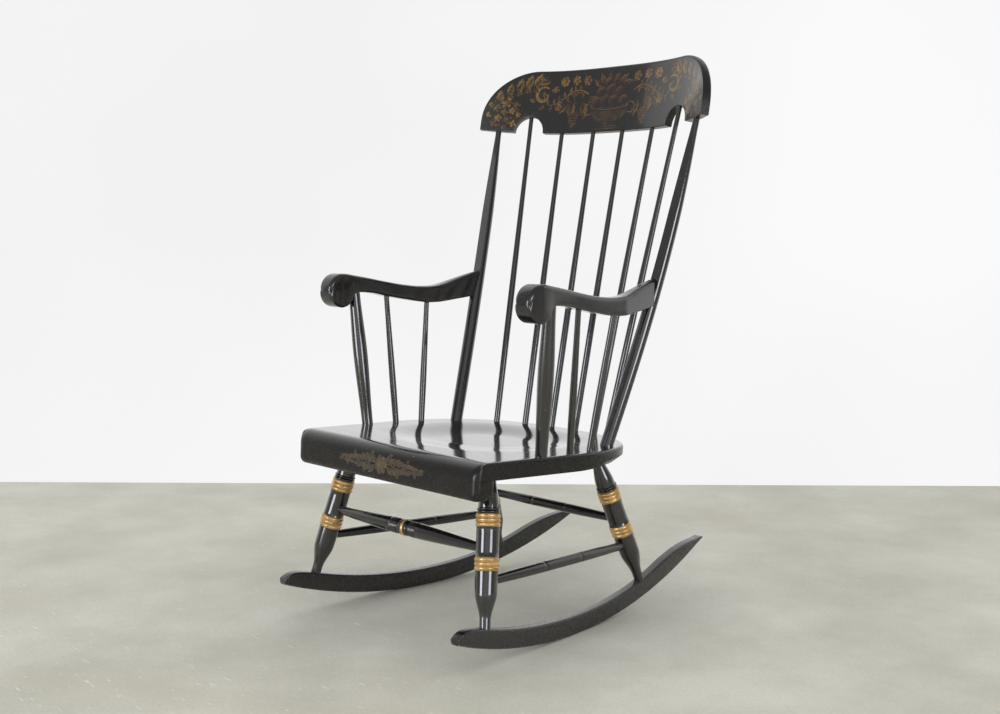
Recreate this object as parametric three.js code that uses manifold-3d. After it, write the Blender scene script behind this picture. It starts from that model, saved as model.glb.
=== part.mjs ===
// A Boston rocking chair: a rolled plank seat on four splayed turned legs, two bent rockers, a back of
// two bent posts and six spindles under a curved crest rail, and two scrolled arms on turned supports.
// Millimetres. +X is the sitter's left, the chair faces -Y, and +Z rises from the floor.
// The chair is laid out with y = 0 through the back posts' holes in the seat, and the last lines
// slide it so that the origin lies on the floor under the middle of its bounding box.

import * as THREE from 'three';
import { mergeVertices } from 'three/addons/utils/BufferGeometryUtils.js';
import Module from 'manifold-3d';

const wasm = await Module();
wasm.setup();

// Fits
const GAP = 0.3;
const OVERRUN = 1;

// Seat plank
const SEAT_HEIGHT = 329;
const SEAT_TILT_DEG = 3;
const SEAT_THICKNESS = 30;
const SEAT_HALF_WIDTH = 256;
const SEAT_FRONT_TAPER = 9;
const SEAT_FRONT = 362;
const SEAT_STRAIGHT_END = 130;
const SEAT_BACK = 118;
const SEAT_BACK_POWER = 2.5;
const SEAT_CORNER_ROUND = 10;
const SEAT_FRONT_ROUND = 20;
const SEAT_EDGE_ROUND = 6;
const SEAT_BEVEL_WIDTH = 15;
const SEAT_BEVEL_HEIGHT = 12;
const SEAT_DISH_CENTRE = 100;
const SEAT_DISH_DEPTH = 10;
const SEAT_DISH_RIM_SHARE = 0.77;
const SEAT_DISH_FLOOR_SHARE = 0.3;
const SEAT_DISH_STEPS = 3;
const SEAT_HOLE_DEPTH = 20;

// Roll glued under the front edge of the seat
const ROLL_DEPTH = 45;
const ROLL_DROP = 34;
const ROLL_ROUND = 12;

// Rockers
const ROCKER_RADIUS = 918;
const ROCKER_LOW = 88;
const ROCKER_FRONT_REACH = 320;
const ROCKER_REAR_REACH = 410;
const ROCKER_THICKNESS = 20;
const ROCKER_DEPTH = 34;
const ROCKER_EDGE_ROUND = 3.5;
const ROCKER_INSET = 44;
const ROCKER_TOE_IN_DEG = 5.4;
// Each pair is a place along the rocker and its depth there, as shares of its length and depth.
const ROCKER_DEPTH_SHARES = [
  [0, 0.34], [0.009, 0.54], [0.024, 0.75], [0.045, 0.9], [0.075, 0.98], [0.12, 1.02], [0.32, 1.02],
  [0.48, 0.99], [0.6, 0.96], [0.69, 0.97], [0.76, 1.04], [0.815, 1.09], [0.86, 1.03], [0.905, 0.85],
  [0.945, 0.58], [0.98, 0.26], [1, 0.07],
];

// Legs. Insets are from the seat's sides, and setbacks are from its front edge.
const FRONT_FOOT_SETBACK = 27;
const FRONT_LEG_SEAT_INSET = 70.5;
const FRONT_LEG_SEAT_SETBACK = 87;
const REAR_FOOT_Y = 110;
const REAR_LEG_SEAT_INSET = 95;
const REAR_LEG_SEAT_Y = 22;
const LEG_SHAFT_RADIUS = 19.5;
const LEG_RING_RADIUS = 21.3;
const LEG_RING_WIDTH = 7.4;
const LEG_RING_COUNT = 3;
const LEG_BEAD_RADIUS = 20;
const LEG_BEAD_WIDTH = 4.6;
const LEG_BEAD_COUNT = 2;
const LEG_LOWER_RADIUS = 18.8;
const LEG_NECK_RADIUS = 9.4;
const LEG_TOP_RADIUS = 10.6;
const LEG_SHOULDER_RADIUS = 17.8;
const FRONT_LEG_BAND = 104.5;
const REAR_LEG_BAND = 109.5;
const LEG_BAND_SPACING = 73;
const LEG_NECK_SHARE = 0.12;
const LEG_SWELL_SHARE = 0.56;
const FOOT_TENON_RADIUS = 5.5;
const FOOT_TENON_LENGTH = 12;
const FOOT_SCRIBE = 4;

// Stretchers, each set at a height measured up the leg from its foot
const FRONT_STRETCHER_RISE = 129;
const REAR_STRETCHER_RISE = 130;
const SIDE_STRETCHER_RISE = 75;
const STRETCHER_END_RADIUS = 7.6;
const STRETCHER_HOLE_DEPTH = 13;
const PLAIN_STRETCHER_RADIUS = 9.4;
const STRETCHER_SCORE_DEPTH = 0.5;
const STRETCHER_SCORE_WIDTH = 1.4;
const STRETCHER_SCORE_SHARE = 0.36;
const FRONT_STRETCHER_RADIUS = 14;
const FRONT_STRETCHER_BALL_RADIUS = 15;
const FRONT_STRETCHER_BALL_LENGTH = 24;
const FRONT_STRETCHER_COVE_RADIUS = 11.5;
const FRONT_STRETCHER_COVE_WIDTH = 5;
const FRONT_STRETCHER_REED_WIDTH = 4.5;
const FRONT_STRETCHER_REED_COUNT = 4;
const FRONT_STRETCHER_REED_BULGE = 0.8;

// Crest rail
const CREST_HALF_WIDTH = 291;
const CREST_HEIGHT = 134;
const CREST_THICKNESS = 16;
const CREST_SWEEP = 75;
const CREST_SWEEP_POWER = 2.75;
const CREST_CROWN = 4.5;
const CREST_CORNER_RADIUS = 105;
const CREST_TOP_ROUND = 6;
const CREST_BOTTOM_ROUND = 1.5;
const CREST_RECLINE_DEG = 10.9;
const CREST_SETBACK = 222.5;
const CREST_BOTTOM_HEIGHT = 914;
const CREST_NOTCH_RADIUS = 34;
const CREST_HOLE_DEPTH = 18;

// Back posts
const POST_SEAT_INSET = 51.5;
const POST_CREST_INSET = 33;
const POST_RADIUS = 12.5;
const POST_BOW_BACK = 8.7;
const POST_BOW_OUT = 5.6;
const POST_FLAT_SHARE = 0.6;
const POST_FLAT_START_SHARE = 0.36;
const POST_FLAT_FULL_SHARE = 0.52;
const POST_FLAT_END_SHARE = 0.9;
// Each pair is a place along the post and its radius there, as shares of its length and radius.
const POST_RADIUS_SHARES = [
  [0, 0.97], [0.15, 1], [0.45, 1], [0.62, 0.97], [0.71, 0.94], [0.78, 0.86], [0.85, 0.75],
  [0.92, 0.61], [0.97, 0.51], [1, 0.48],
];

// Back spindles, whose holes in the seat lie on half an ellipse. Shares are of its half width and of
// the crest rail's half width.
const SPINDLE_ROW_INSET = 41;
const SPINDLE_ROW_DEPTH = 151;
const SPINDLE_ROW_CENTRE = 47;
const SPINDLE_SEAT_SHARES = [0.149, 0.435, 0.693];
const SPINDLE_CREST_SHARES = [0.1325, 0.4105, 0.67];
const SPINDLE_CREST_DEPTH = 6;
const SPINDLE_BOTTOM_RADIUS = 6.2;
const SPINDLE_TOP_RADIUS = 4.5;
const SPINDLE_SWELL_RADIUS = 6.6;
const SPINDLE_SWELL_SHARE = 0.3;

// Arms. The overhang and the inset are from the seat's side, the nose's setback is from the seat's
// front edge, and the tail's inset is from the middle of the post that it meets.
const ARM_NOSE_SETBACK = 80;
const ARM_END_Y = 92;
const SCROLL_HEIGHT = 65.5;
const SCROLL_BOTTOM_HEIGHT = 569.5;
const ARM_SCROLL_OVERHANG = 13;
const ARM_BEND_INSET = 6;
const ARM_END_INSET = 1.2;
const ARM_BEND_SHARE = 0.7;
const ARM_SCROLL_WIDTH = 40;
const ARM_WAIST_WIDTH = 35;
const ARM_END_WIDTH = 16;
const ARM_EDGE_ROUND = 9;
const ARM_EDGE_ROUND_SHARE = 0.45;
const ARM_NOSE_DRAW_SHARE = 0.8;
const ARM_COPE_REACH = 40;
const ARM_TENON_RADIUS = 6;
const ARM_TENON_DEPTH = 13;
const ARM_TENON_ROOT = 12;
const ARM_HOLE_DEPTH = 14;
// Each row is a place along the arm, its top and its underside, as shares of its length and of the
// scroll's height above the scroll's underside.
const ARM_PROFILE_SHARES = [
  [0, 0.56, 0.44], [0.008, 0.7, 0.3], [0.024, 0.85, 0.15], [0.05, 0.96, 0.04], [0.077, 1, 0],
  [0.105, 0.995, 0.03], [0.132, 0.975, 0.13], [0.16, 0.945, 0.39], [0.19, 0.915, 0.43],
  [0.26, 0.84, 0.4], [0.37, 0.715, 0.27], [0.48, 0.605, 0.155], [0.58, 0.54, 0.06],
  [0.65, 0.525, 0.015], [0.7, 0.54, 0.015], [0.75, 0.59, 0.035], [0.82, 0.7, 0.075], [0.9, 0.825, 0.12],
  [1, 0.965, 0.195],
];

// Arm supports and the spindles behind them. Insets are from the seat's side, and the setbacks of a
// support's foot and head are from the seat's front edge and the arm's nose.
const SUPPORT_SEAT_INSET = 19;
const SUPPORT_SEAT_SETBACK = 157;
const SUPPORT_ARM_SETBACK = 69;
const SUPPORT_BOTTOM_RADIUS = 10.8;
const SUPPORT_SWELL_RADIUS = 14.1;
const SUPPORT_TOP_RADIUS = 11;
const SUPPORT_SWELL_SHARE = 0.54;
const ARM_SPINDLE_SEAT_INSET = [19, 26.5];
const ARM_SPINDLE_SEAT_Y = [133.5, 73];
const ARM_SPINDLE_ARM_Y = [137, 38];
const ARM_SPINDLE_BOTTOM_RADIUS = 6.1;
const ARM_SPINDLE_SWELL_RADIUS = 6.6;
const ARM_SPINDLE_TOP_RADIUS = 5.1;

// Facets
const LEG_SIDES = 14;
const STRETCHER_SIDES = 12;
const SPINDLE_SIDES = 10;
const POST_SIDES = 14;
const HOLE_SIDES = 12;
const NOTCH_SIDES = 22;
const EASE_STEPS = 4;
const STICK_EASE_STEPS = 3;

const SIDES = { left: 1, right: -1 };
const UP = new THREE.Vector3(0, 0, 1);
const lacquer = new THREE.MeshStandardMaterial({ color: '#1a1714', roughness: 0.28, metalness: 0 });

const chair = new THREE.Group();
const pieces = {};

// Small geometry tools

function smooth(share) {
  const s = THREE.MathUtils.clamp(share, 0, 1);
  return s * s * (3 - 2 * s);
}

function between(rows, at, column = 1) {
  const last = rows.length - 1;
  let i = 0;
  while (i < last - 1 && rows[i + 1][0] < at) i += 1;
  const [low, high] = [rows[i], rows[i + 1]];
  const share = THREE.MathUtils.clamp((at - low[0]) / (high[0] - low[0]), 0, 1);
  return THREE.MathUtils.lerp(low[column], high[column], share);
}

function toSolid(geometry) {
  const bare = geometry.clone();
  bare.deleteAttribute('normal');
  bare.deleteAttribute('uv');
  const merged = mergeVertices(bare);
  return new wasm.Manifold(new wasm.Mesh({
    numProp: 3,
    vertProperties: new Float32Array(merged.attributes.position.array),
    triVerts: new Uint32Array(merged.index.array),
  }));
}

function toGeometry(solid) {
  const { vertProperties, triVerts } = solid.getMesh();
  const geometry = new THREE.BufferGeometry();
  geometry.setAttribute('position', new THREE.BufferAttribute(vertProperties, 3));
  geometry.setIndex(new THREE.BufferAttribute(triVerts, 1));
  geometry.computeVertexNormals();
  return geometry;
}

// Skins a row of rings of equal count into one closed body, with a fan over each end.
function loft(rings) {
  const count = rings[0].length;
  const points = rings.flat();
  const faces = [];
  for (let r = 0; r < rings.length - 1; r += 1) {
    for (let i = 0; i < count; i += 1) {
      const a = r * count + i;
      const b = r * count + (i + 1) % count;
      faces.push(a, b, b + count, a, b + count, a + count);
    }
  }
  for (const [ring, flip] of [[0, true], [rings.length - 1, false]]) {
    const middle = new THREE.Vector3();
    rings[ring].forEach((point) => middle.addScaledVector(point, 1 / count));
    points.push(middle);
    for (let i = 0; i < count; i += 1) {
      const a = ring * count + i;
      const b = ring * count + (i + 1) % count;
      faces.push(...(flip ? [b, a, points.length - 1] : [a, b, points.length - 1]));
    }
  }
  const geometry = new THREE.BufferGeometry().setFromPoints(points);
  geometry.setIndex(faces);
  return geometry;
}

// Turns a profile of [place along the axis, radius] about +Z.
function turned(profile, sides) {
  const points = profile.map(([along, radius]) => new THREE.Vector2(radius, along));
  points.unshift(new THREE.Vector2(0, profile[0][0]));
  points.push(new THREE.Vector2(0, profile.at(-1)[0]));
  return new THREE.LatheGeometry(points, sides).rotateX(Math.PI / 2);
}

// The frame that stands at a point with its +Z along a direction.
function standing(point, direction) {
  const turn = new THREE.Quaternion().setFromUnitVectors(UP, direction.clone().normalize());
  return new THREE.Matrix4().compose(point, turn, new THREE.Vector3(1, 1, 1));
}

function addPiece(name, geometry, frame = new THREE.Matrix4()) {
  pieces[name] = { solid: toSolid(geometry), frame };
  return pieces[name];
}

function inFrameOf(piece, geometry, frame) {
  const local = piece.frame.clone().invert().multiply(frame);
  return toSolid(geometry.clone().applyMatrix4(local));
}

// Drills a round blind hole that starts outside the face at a point and runs along a direction.
function drill(piece, point, direction, radius, depth, lead = OVERRUN) {
  const clear = (radius + GAP) / Math.cos(Math.PI / HOLE_SIDES);
  const bit = turned([[-lead, clear], [depth + GAP, clear]], HOLE_SIDES);
  piece.solid = piece.solid.subtract(inFrameOf(piece, bit, standing(point, direction)));
}

function easeBetween(from, to, steps = EASE_STEPS) {
  const rows = [];
  for (let i = 1; i < steps; i += 1) {
    const share = i / steps;
    rows.push([
      THREE.MathUtils.lerp(from[0], to[0], share),
      THREE.MathUtils.lerp(from[1], to[1], smooth(share)),
    ]);
  }
  return [from, ...rows, to];
}

// A run of half-round rings between two places along the axis.
function rings(start, width, count, valley, crown) {
  const rows = [];
  for (let i = 0; i < count; i += 1) {
    const from = start + i * width;
    rows.push([from, valley]);
    rows.push([from + width / 3, crown]);
    rows.push([from + 2 * width / 3, crown]);
  }
  rows.push([start + count * width, valley]);
  return rows;
}

// Seat

const seatTilt = THREE.MathUtils.degToRad(SEAT_TILT_DEG);
const seatFrame = new THREE.Matrix4().makeRotationX(-seatTilt).setPosition(0, 0, SEAT_HEIGHT);
const seatFrontHalfWidth = SEAT_HALF_WIDTH - SEAT_FRONT_TAPER;

function onSeat(x, y, z = 0) {
  return new THREE.Vector3(x, y, z).applyMatrix4(seatFrame);
}

function alongLine(from, to, steps) {
  const points = [];
  for (let i = 0; i < steps; i += 1) points.push(from.clone().lerp(to, i / steps));
  return points;
}

// The outline, counter-clockwise from the left end of the front edge, in the seat's own plane.
function seatOutline() {
  const frontSteps = 6;
  const cornerSteps = 3;
  const sideSteps = 5;
  const backSteps = 24;
  const side = seatFrontHalfWidth - SEAT_CORNER_ROUND;
  const front = -SEAT_FRONT + SEAT_CORNER_ROUND;
  const corner = (sign, step) => {
    const angle = (step / cornerSteps) * Math.PI / 2;
    return new THREE.Vector2(
      sign * (side + SEAT_CORNER_ROUND * Math.sin(angle)),
      front - SEAT_CORNER_ROUND * Math.cos(angle),
    );
  };
  const points = alongLine(corner(-1, 0), corner(1, 0), frontSteps);
  for (let i = 0; i < cornerSteps; i += 1) points.push(corner(1, i));
  const sideEnd = new THREE.Vector2(SEAT_HALF_WIDTH, -SEAT_STRAIGHT_END);
  points.push(...alongLine(corner(1, cornerSteps), sideEnd, sideSteps));
  for (let i = 0; i < backSteps; i += 1) {
    const angle = (i / backSteps) * Math.PI;
    const [across, behind] = [Math.cos(angle), Math.sin(angle)];
    points.push(new THREE.Vector2(
      SEAT_HALF_WIDTH * Math.sign(across) * Math.abs(across) ** (2 / SEAT_BACK_POWER),
      -SEAT_STRAIGHT_END + (SEAT_BACK + SEAT_STRAIGHT_END) * behind ** (2 / SEAT_BACK_POWER),
    ));
  }
  const farEnd = new THREE.Vector2(-SEAT_HALF_WIDTH, -SEAT_STRAIGHT_END);
  points.push(...alongLine(farEnd, corner(-1, cornerSteps), sideSteps));
  for (let i = cornerSteps; i > 0; i -= 1) points.push(corner(-1, i));
  return points;
}

function inwardNormals(points) {
  return points.map((point, i) => {
    const before = points.at(i - 1);
    const after = points[(i + 1) % points.length];
    return new THREE.Vector2(before.y - after.y, after.x - before.x).normalize();
  });
}

function seatGeometry() {
  const outline = seatOutline();
  const inward = inwardNormals(outline);
  const frontShare = outline.map((point) => smooth((-point.y - SEAT_FRONT) / SEAT_CORNER_ROUND + 1));
  const rearShare = outline.map((point) => smooth((point.y + SEAT_STRAIGHT_END) / SEAT_BACK));
  const centre = new THREE.Vector2(0, -SEAT_DISH_CENTRE);
  const rows = [];
  for (let step = 0; step <= SEAT_DISH_STEPS; step += 1) {
    const rise = step / SEAT_DISH_STEPS;
    const share = THREE.MathUtils.lerp(SEAT_DISH_FLOOR_SHARE, SEAT_DISH_RIM_SHARE, rise);
    const depth = SEAT_DISH_DEPTH * smooth(1 - rise);
    rows.push(outline.map((point) => {
      const at = centre.clone().lerp(point, share);
      return new THREE.Vector3(at.x, at.y, -depth);
    }));
  }
  const offsetRing = (offset, drop) => outline.map((point, i) => {
    const at = point.clone().addScaledVector(inward[i], offset(i));
    return new THREE.Vector3(at.x, at.y, -drop(i));
  });
  const round = (i) => THREE.MathUtils.lerp(SEAT_EDGE_ROUND, SEAT_FRONT_ROUND, frontShare[i]);
  const roundSteps = 3;
  for (let step = 0; step <= roundSteps; step += 1) {
    const angle = (step / roundSteps) * Math.PI / 2;
    rows.push(offsetRing((i) => round(i) * (1 - Math.sin(angle)), (i) => round(i) * (1 - Math.cos(angle))));
  }
  rows.push(offsetRing(() => 0, (i) => SEAT_THICKNESS - GAP - SEAT_BEVEL_HEIGHT * rearShare[i]));
  rows.push(offsetRing((i) => GAP + SEAT_BEVEL_WIDTH * rearShare[i], () => SEAT_THICKNESS));
  return loft(rows.reverse());
}

// The roll's outline runs round its end face, from the top of its back down and forward.
function rollGeometry() {
  const back = -SEAT_FRONT + ROLL_DEPTH;
  const top = -SEAT_THICKNESS - GAP;
  const bottom = -SEAT_THICKNESS - ROLL_DROP;
  const steps = 4;
  const face = new THREE.Shape([
    new THREE.Vector2(back, top),
    new THREE.Vector2(back, bottom),
  ]);
  for (let i = 0; i <= steps; i += 1) {
    const angle = (i / steps) * Math.PI / 2;
    face.lineTo(
      -SEAT_FRONT + ROLL_ROUND * (1 - Math.sin(angle)),
      bottom + ROLL_ROUND * (1 - Math.cos(angle)),
    );
  }
  face.lineTo(-SEAT_FRONT, top);
  const length = 2 * seatFrontHalfWidth - 2 * SEAT_EDGE_ROUND;
  const bar = new THREE.ExtrudeGeometry(face, {
    depth: length,
    bevelThickness: SEAT_EDGE_ROUND,
    bevelSize: SEAT_EDGE_ROUND,
    bevelOffset: -SEAT_EDGE_ROUND,
    bevelSegments: 2,
  });
  bar.translate(0, 0, -length / 2);
  return bar.applyMatrix4(new THREE.Matrix4().makeBasis(
    new THREE.Vector3(0, 1, 0),
    new THREE.Vector3(0, 0, 1),
    new THREE.Vector3(1, 0, 0),
  ));
}

const seat = addPiece('seat_plank', seatGeometry(), seatFrame);
addPiece('seat_front_roll', rollGeometry(), seatFrame);

// Rockers

const toeIn = THREE.MathUtils.degToRad(ROCKER_TOE_IN_DEG);
const rockerLength = ROCKER_FRONT_REACH + ROCKER_REAR_REACH;

function rockerUnderside(along) {
  return ROCKER_RADIUS - Math.sqrt(ROCKER_RADIUS ** 2 - along ** 2);
}

function rockerDepth(along) {
  const share = (along + ROCKER_FRONT_REACH) / rockerLength;
  return ROCKER_DEPTH * between(ROCKER_DEPTH_SHARES, share);
}

function rockerFrame(sign) {
  return new THREE.Matrix4()
    .makeRotationZ(sign * toeIn)
    .setPosition(sign * (SEAT_HALF_WIDTH - ROCKER_INSET), -ROCKER_LOW, 0);
}

// A section across the rocker: eight points, with its four corners eased.
function rockerSection(along) {
  const half = ROCKER_THICKNESS / 2;
  const low = rockerUnderside(along);
  const high = low + rockerDepth(along);
  const ease = Math.min(ROCKER_EDGE_ROUND, (high - low) / 3);
  return [
    [half - ease, low], [half, low + ease], [half, high - ease], [half - ease, high],
    [ease - half, high], [-half, high - ease], [-half, low + ease], [ease - half, low],
  ].map(([x, z]) => new THREE.Vector3(x, along, z));
}

function rockerGeometry() {
  const places = ROCKER_DEPTH_SHARES.map(([share]) => share * rockerLength - ROCKER_FRONT_REACH);
  const steps = 22;
  for (let i = 1; i < steps; i += 1) {
    const along = THREE.MathUtils.lerp(-ROCKER_FRONT_REACH, ROCKER_REAR_REACH, i / steps);
    if (places.every((place) => Math.abs(place - along) > rockerLength / steps / 3)) places.push(along);
  }
  places.push(0);
  places.sort((a, b) => b - a);
  return loft(places.map(rockerSection));
}

for (const [side, sign] of Object.entries(SIDES)) {
  addPiece(`rocker_${side}`, rockerGeometry(), rockerFrame(sign));
}

// The point on a rocker's top, on its middle plane, at a place y ahead of or behind the posts.
function onRocker(sign, y) {
  const along = (y + ROCKER_LOW) / Math.cos(toeIn);
  const top = rockerUnderside(along) + rockerDepth(along);
  return new THREE.Vector3(0, along, top).applyMatrix4(rockerFrame(sign));
}

// Legs

// The leg's profile from its foot up: neck, swelling, lower rings, shaft, upper rings, beads and a
// shoulder that draws in to the top, where the leg enters the seat.
function legProfile(length, band) {
  const bandHalf = LEG_RING_WIDTH * LEG_RING_COUNT / 2;
  const lowerBand = band - bandHalf;
  const upperBand = band + LEG_BAND_SPACING - bandHalf;
  const beads = upperBand + 2 * bandHalf;
  const shoulder = beads + LEG_BEAD_COUNT * LEG_BEAD_WIDTH;
  const valley = LEG_SHAFT_RADIUS;
  const neckEnd = band * LEG_NECK_SHARE;
  const swellEnd = band * LEG_SWELL_SHARE;
  return [
    [-FOOT_SCRIBE, LEG_NECK_RADIUS],
    ...easeBetween([neckEnd, LEG_NECK_RADIUS], [swellEnd, LEG_LOWER_RADIUS]),
    ...rings(lowerBand, LEG_RING_WIDTH, LEG_RING_COUNT, valley, LEG_RING_RADIUS),
    ...rings(upperBand, LEG_RING_WIDTH, LEG_RING_COUNT, valley, LEG_RING_RADIUS),
    ...rings(beads, LEG_BEAD_WIDTH, LEG_BEAD_COUNT, LEG_SHOULDER_RADIUS, LEG_BEAD_RADIUS).slice(1),
    ...easeBetween(
      [shoulder + LEG_BEAD_WIDTH, LEG_SHOULDER_RADIUS],
      [length - LEG_BEAD_WIDTH, LEG_TOP_RADIUS],
    ),
    [length + SEAT_HOLE_DEPTH, LEG_TOP_RADIUS],
  ];
}

const LEGS = {
  front: {
    foot: FRONT_FOOT_SETBACK - SEAT_FRONT,
    seatX: SEAT_HALF_WIDTH - FRONT_LEG_SEAT_INSET,
    seatY: FRONT_LEG_SEAT_SETBACK - SEAT_FRONT,
    band: FRONT_LEG_BAND,
  },
  rear: {
    foot: REAR_FOOT_Y,
    seatX: SEAT_HALF_WIDTH - REAR_LEG_SEAT_INSET,
    seatY: REAR_LEG_SEAT_Y,
    band: REAR_LEG_BAND,
  },
};

const legLines = {};
for (const [end, leg] of Object.entries(LEGS)) {
  for (const [side, sign] of Object.entries(SIDES)) {
    const name = `${end}_leg_${side}`;
    const foot = onRocker(sign, leg.foot);
    const top = onSeat(sign * leg.seatX, leg.seatY, -SEAT_THICKNESS);
    const direction = top.clone().sub(foot).normalize();
    const frame = standing(foot, direction);
    legLines[name] = { foot, direction };
    const piece = addPiece(name, turned(legProfile(foot.distanceTo(top), leg.band), LEG_SIDES), frame);

    const rocker = pieces[`rocker_${side}`];
    const lifted = new THREE.Matrix4().makeTranslation(0, 0, GAP).multiply(rocker.frame);
    piece.solid = piece.solid.subtract(inFrameOf(piece, rockerGeometry(), lifted));
    const tenon = turned([
      [-FOOT_TENON_LENGTH, FOOT_TENON_RADIUS],
      [FOOT_SCRIBE, FOOT_TENON_RADIUS],
    ], HOLE_SIDES);
    piece.solid = piece.solid.add(toSolid(tenon));
    drill(rocker, foot, direction.clone().negate(), FOOT_TENON_RADIUS, FOOT_TENON_LENGTH, FOOT_SCRIBE);
    drill(seat, top, direction, LEG_TOP_RADIUS, SEAT_HOLE_DEPTH, LEG_TOP_RADIUS);
  }
}

function onLeg(name, rise) {
  return legLines[name].foot.clone().addScaledVector(legLines[name].direction, rise);
}

// Stretchers

function plainStretcherProfile(length) {
  const end = length - 2 * STRETCHER_HOLE_DEPTH;
  const middle = (share) => STRETCHER_HOLE_DEPTH + share * end;
  const score = (share) => [
    [middle(share) - STRETCHER_SCORE_WIDTH, PLAIN_STRETCHER_RADIUS],
    [middle(share), PLAIN_STRETCHER_RADIUS - STRETCHER_SCORE_DEPTH],
    [middle(share) + STRETCHER_SCORE_WIDTH, PLAIN_STRETCHER_RADIUS],
  ];
  return [
    [0, STRETCHER_END_RADIUS],
    [STRETCHER_HOLE_DEPTH, STRETCHER_END_RADIUS],
    ...score(STRETCHER_SCORE_SHARE),
    ...score(1 - STRETCHER_SCORE_SHARE),
    [length - STRETCHER_HOLE_DEPTH, STRETCHER_END_RADIUS],
    [length, STRETCHER_END_RADIUS],
  ];
}

function frontStretcherProfile(length) {
  const middle = length / 2;
  const ball = FRONT_STRETCHER_BALL_LENGTH / 2;
  const reeds = FRONT_STRETCHER_REED_WIDTH * FRONT_STRETCHER_REED_COUNT;
  const crown = FRONT_STRETCHER_RADIUS;
  const reedStart = middle - ball - FRONT_STRETCHER_COVE_WIDTH - reeds;
  const half = [
    [0, STRETCHER_END_RADIUS],
    [STRETCHER_HOLE_DEPTH, STRETCHER_END_RADIUS],
    [THREE.MathUtils.lerp(STRETCHER_HOLE_DEPTH, reedStart, 0.5), (STRETCHER_END_RADIUS + crown) / 2],
    [reedStart - FRONT_STRETCHER_COVE_WIDTH, crown],
  ];
  for (let i = 0; i < FRONT_STRETCHER_REED_COUNT; i += 1) {
    const at = reedStart + i * FRONT_STRETCHER_REED_WIDTH;
    half.push([at, crown - FRONT_STRETCHER_REED_BULGE]);
    half.push([at + FRONT_STRETCHER_REED_WIDTH / 2, crown]);
  }
  half.push([middle - ball - FRONT_STRETCHER_COVE_WIDTH / 2, FRONT_STRETCHER_COVE_RADIUS]);
  half.push([middle - ball, FRONT_STRETCHER_COVE_RADIUS + FRONT_STRETCHER_REED_BULGE]);
  half.push([middle - ball / 2, (FRONT_STRETCHER_COVE_RADIUS + 3 * FRONT_STRETCHER_BALL_RADIUS) / 4]);
  const mirrored = half.map(([along, radius]) => [length - along, radius]).reverse();
  return [...half, [middle, FRONT_STRETCHER_BALL_RADIUS], ...mirrored];
}

function addStretcher(name, fromLeg, toLeg, rise, profile) {
  const from = onLeg(fromLeg, rise);
  const to = onLeg(toLeg, rise);
  const direction = to.clone().sub(from).normalize();
  const reach = LEG_SHAFT_RADIUS - STRETCHER_HOLE_DEPTH;
  const start = from.clone().addScaledVector(direction, reach);
  const length = from.distanceTo(to) - 2 * reach;
  addPiece(name, turned(profile(length), STRETCHER_SIDES), standing(start, direction));
  for (const [leg, point, way] of [[fromLeg, from, -1], [toLeg, to, 1]]) {
    const mouth = point.clone().addScaledVector(direction, -way * LEG_SHAFT_RADIUS);
    const into = direction.clone().multiplyScalar(way);
    drill(pieces[leg], mouth, into, STRETCHER_END_RADIUS, STRETCHER_HOLE_DEPTH, LEG_SHAFT_RADIUS);
  }
}

addStretcher(
  'front_stretcher',
  'front_leg_right',
  'front_leg_left',
  FRONT_STRETCHER_RISE,
  frontStretcherProfile,
);
addStretcher(
  'rear_stretcher',
  'rear_leg_right',
  'rear_leg_left',
  REAR_STRETCHER_RISE,
  plainStretcherProfile,
);
for (const side of Object.keys(SIDES)) {
  addStretcher(
    `side_stretcher_${side}`,
    `front_leg_${side}`,
    `rear_leg_${side}`,
    SIDE_STRETCHER_RISE,
    plainStretcherProfile,
  );
}

// Crest rail, laid out upright about the middle of its lower front edge and then reclined

const recline = THREE.MathUtils.degToRad(CREST_RECLINE_DEG);
const crestFrame = new THREE.Matrix4()
  .makeRotationX(-recline)
  .setPosition(0, CREST_SETBACK, CREST_BOTTOM_HEIGHT);

function crestFace(x) {
  return -CREST_SWEEP * (Math.abs(x) / CREST_HALF_WIDTH) ** CREST_SWEEP_POWER;
}

function crestSlope(x) {
  const share = (Math.abs(x) / CREST_HALF_WIDTH) ** (CREST_SWEEP_POWER - 1);
  return -Math.sign(x) * CREST_SWEEP * CREST_SWEEP_POWER / CREST_HALF_WIDTH * share;
}

// A point of the rail at x along its face, some depth behind the face and some height up.
function inCrest(x, depth, height) {
  const slope = crestSlope(x);
  const unit = 1 / Math.hypot(1, slope);
  return new THREE.Vector3(x - depth * slope * unit, crestFace(x) + depth * unit, height);
}

function crestHeight(x) {
  const share = Math.abs(x) / CREST_HALF_WIDTH;
  const crowned = CREST_HEIGHT - CREST_CROWN * share ** 2;
  const past = Math.abs(x) - (CREST_HALF_WIDTH - CREST_CORNER_RADIUS);
  if (past <= 0) return crowned;
  return crowned - CREST_CORNER_RADIUS + Math.sqrt(Math.max(0, CREST_CORNER_RADIUS ** 2 - past ** 2));
}

function crestSection(x) {
  const top = crestHeight(x);
  const r = CREST_TOP_ROUND;
  const b = CREST_BOTTOM_ROUND;
  const chamfer = r * (1 - Math.SQRT1_2);
  const back = CREST_THICKNESS;
  return [
    [b, 0], [back - b, 0], [back, b], [back, top - r], [back - chamfer, top - chamfer],
    [back - r, top], [r, top], [chamfer, top - chamfer], [0, top - r], [0, b],
  ].map(([depth, height]) => inCrest(x, depth, height));
}

function crestGeometry() {
  const steps = 30;
  const sections = [];
  for (let i = 0; i <= steps; i += 1) {
    const angle = (i / steps - 1 / 2) * Math.PI;
    sections.push(crestSection(CREST_HALF_WIDTH * Math.sin(angle)));
  }
  return loft(sections);
}

const crest = addPiece('crest_rail', crestGeometry(), crestFrame);

const crestUp = UP.clone().transformDirection(crestFrame);

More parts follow.
